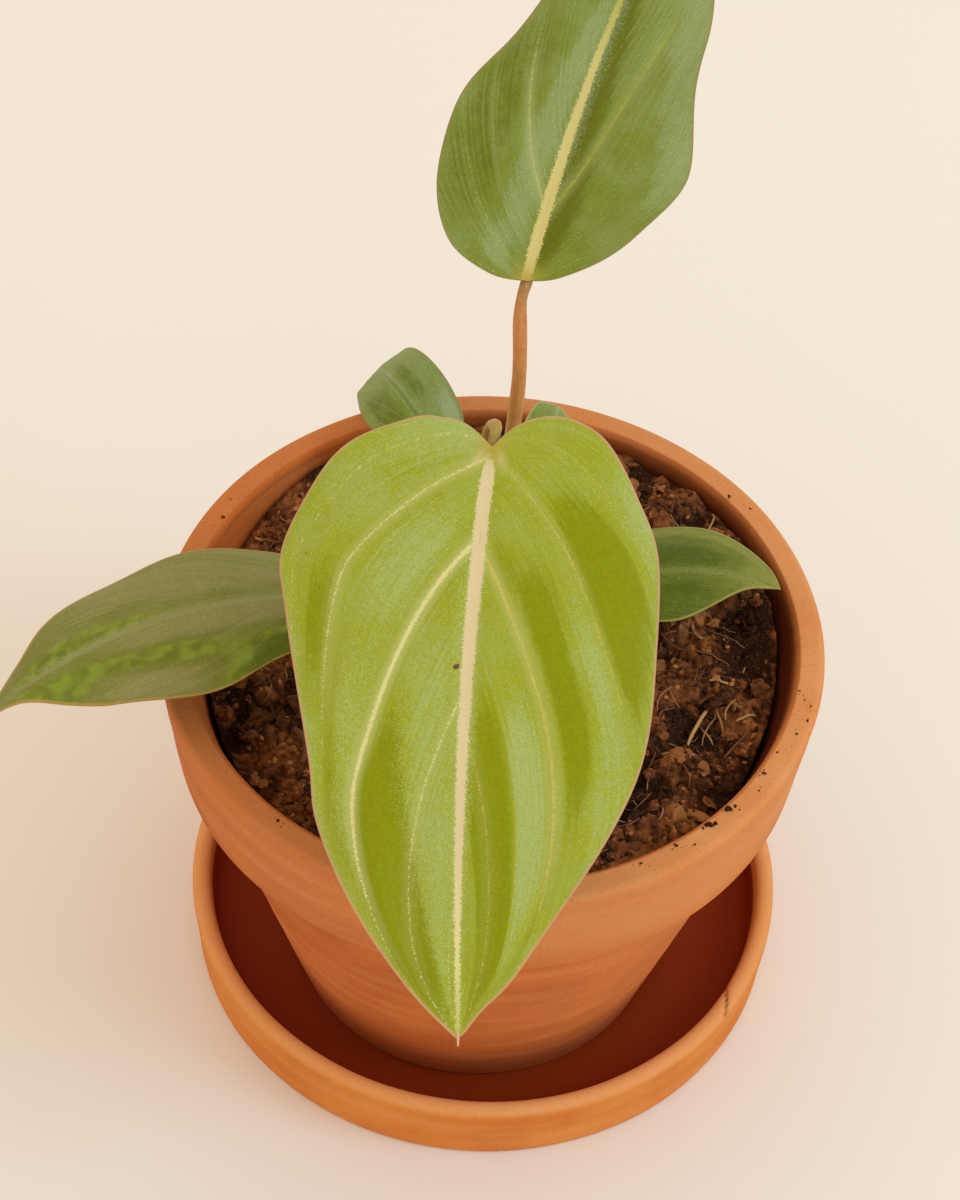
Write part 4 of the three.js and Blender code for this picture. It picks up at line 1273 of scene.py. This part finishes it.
def build_stalk(name, leaf, axes, material):
    """The stalk rises from the creeping stem, turns over in a knee and runs out under the midrib."""
    def below(share, back, drop):
        at, along, _, up = station(leaf, axes, np.array([float(share)]))
        return (at - along * back - up * drop)[0]

    touch = SHEET.half - 0.05
    path = [*leaf.stalk,
            below(0, STALK.knee_back, STALK.knee_drop),
            below(0, -1, touch + STALK.top),
            below(STALK.under, 0, touch + STALK.end)]
    length = np.linalg.norm(np.diff(np.array(path), axis=0), axis=1).sum()
    share = np.linspace(0, 1, int(30 + length / STALK.pitch) + 1)
    radii = stalk_radii(share, STALK.under * leaf.length / length)
    points, faces, along = tube(smooth_curve(path, share, 1) + POT_AXIS, radii, STALK.sides)
    add_piece(f"petiole_{name}", points, faces, material, f"stalk_{name}", {"share": along})


SPUR = Form(start=-0.8, root=0.2, end=1.5, radii=(0.3, 0.26, 0.16), droop=0.10)


def build_spur(leaf, axes):
    """The thread-like point at the front leaf's tip."""
    at, along, _, up = (values[0] for values in station(leaf, axes, np.array([1.0])))
    steps = np.linspace(SPUR.start, SPUR.end, 9)
    path = at + along * steps[:, None] - up * (SPUR.droop * np.maximum(0, steps) ** 2)[:, None]
    radii = np.interp(steps, (SPUR.start, SPUR.root, SPUR.end), SPUR.radii)
    points, faces, _ = tube(path + POT_AXIS, radii, 10)
    add_piece("tip_front", points, faces, tip_paint("tip_skin"))


def build_leaves():
    """All six leaves. The front one has a more ochre stalk, and a thread-like tip."""
    ochre = stalk_paint("stalk_ochre", (172, 144, 58), (172, 138, 54), (130, 106, 34))
    orange = stalk_paint("stalk_orange", (176, 142, 58), (192, 122, 56), (146, 112, 40))
    for name, given in LEAVES.items():
        leaf = Form(**{**LEAF_DEFAULTS, **given})
        axes = midrib_axes(leaf)
        build_blade(name, leaf, axes)
        build_stalk(name, leaf, axes, ochre if name == "front" else orange)
        if name == "front":
            build_spur(leaf, axes)


# Studio

FLOOR_HALF = 3000
CAMERA = Form(elevation=49.337, yaw=-0.206, roll=-3.357, place=(-2.45, -487.19, 671.04), lens=114.5,
              sensor=36, nearest=10)
KEY_LIGHT = Form(place=(1250, -420, 1300), target=(0, 0, 60), size=800, power=10.5, colour=(0.42, 0.70, 1.0))
FILL_LIGHT = Form(colour=(1.0, 0.90, 0.815, 1), strength=0.99)


def build_floor():
    corners = [(x * FLOOR_HALF, y * FLOOR_HALF, 0) for x, y in ((-1, -1), (1, -1), (1, 1), (-1, 1))]
    make_piece("floor", corners, [[0, 1, 2, 3]], floor_paint("floor"), {})


def build_camera():
    """The photographed view. Lens and place come from the rim's, collar's and saucer's outlines."""
    data = bpy.data.cameras.new("camera")
    data.lens = CAMERA.lens
    data.sensor_width = CAMERA.sensor
    data.clip_start = CAMERA.nearest * MM
    camera = bpy.data.objects.new("camera", data)
    pose = Matrix.Translation(Vector(CAMERA.place) * MM)
    for angle, axis in ((-CAMERA.yaw, "Z"), (90 - CAMERA.elevation, "X"), (-CAMERA.roll, "Z")):
        pose @= Matrix.Rotation(math.radians(angle), 4, axis)
    camera.matrix_world = pose
    bpy.context.scene.collection.objects.link(camera)
    bpy.context.scene.camera = camera


def build_light():
    """A broad cool light from the right and above, and a warm even fill."""
    data = bpy.data.lights.new("key", "AREA")
    data.shape = "DISK"
    data.size = KEY_LIGHT.size * MM
    data.energy = KEY_LIGHT.power
    data.color = KEY_LIGHT.colour
    light = bpy.data.objects.new("key", data)
    place = Vector(KEY_LIGHT.place) * MM
    aim = (Vector(KEY_LIGHT.target) * MM - place).to_track_quat("-Z", "Y")
    light.matrix_world = Matrix.Translation(place) @ aim.to_matrix().to_4x4()
    bpy.context.scene.collection.objects.link(light)
    world = bpy.data.worlds.new("studio")
    world.use_nodes = True
    fill = world.node_tree.nodes["Background"]
    fill.inputs["Color"].default_value = FILL_LIGHT.colour
    fill.inputs["Strength"].default_value = FILL_LIGHT.strength
    bpy.context.scene.world = world
    bpy.context.scene.view_settings.view_transform = "Standard"


build_camera()
build_light()
build_floor()
build_saucer()
build_pot()
build_soil()
build_rhizome()
build_leaves()
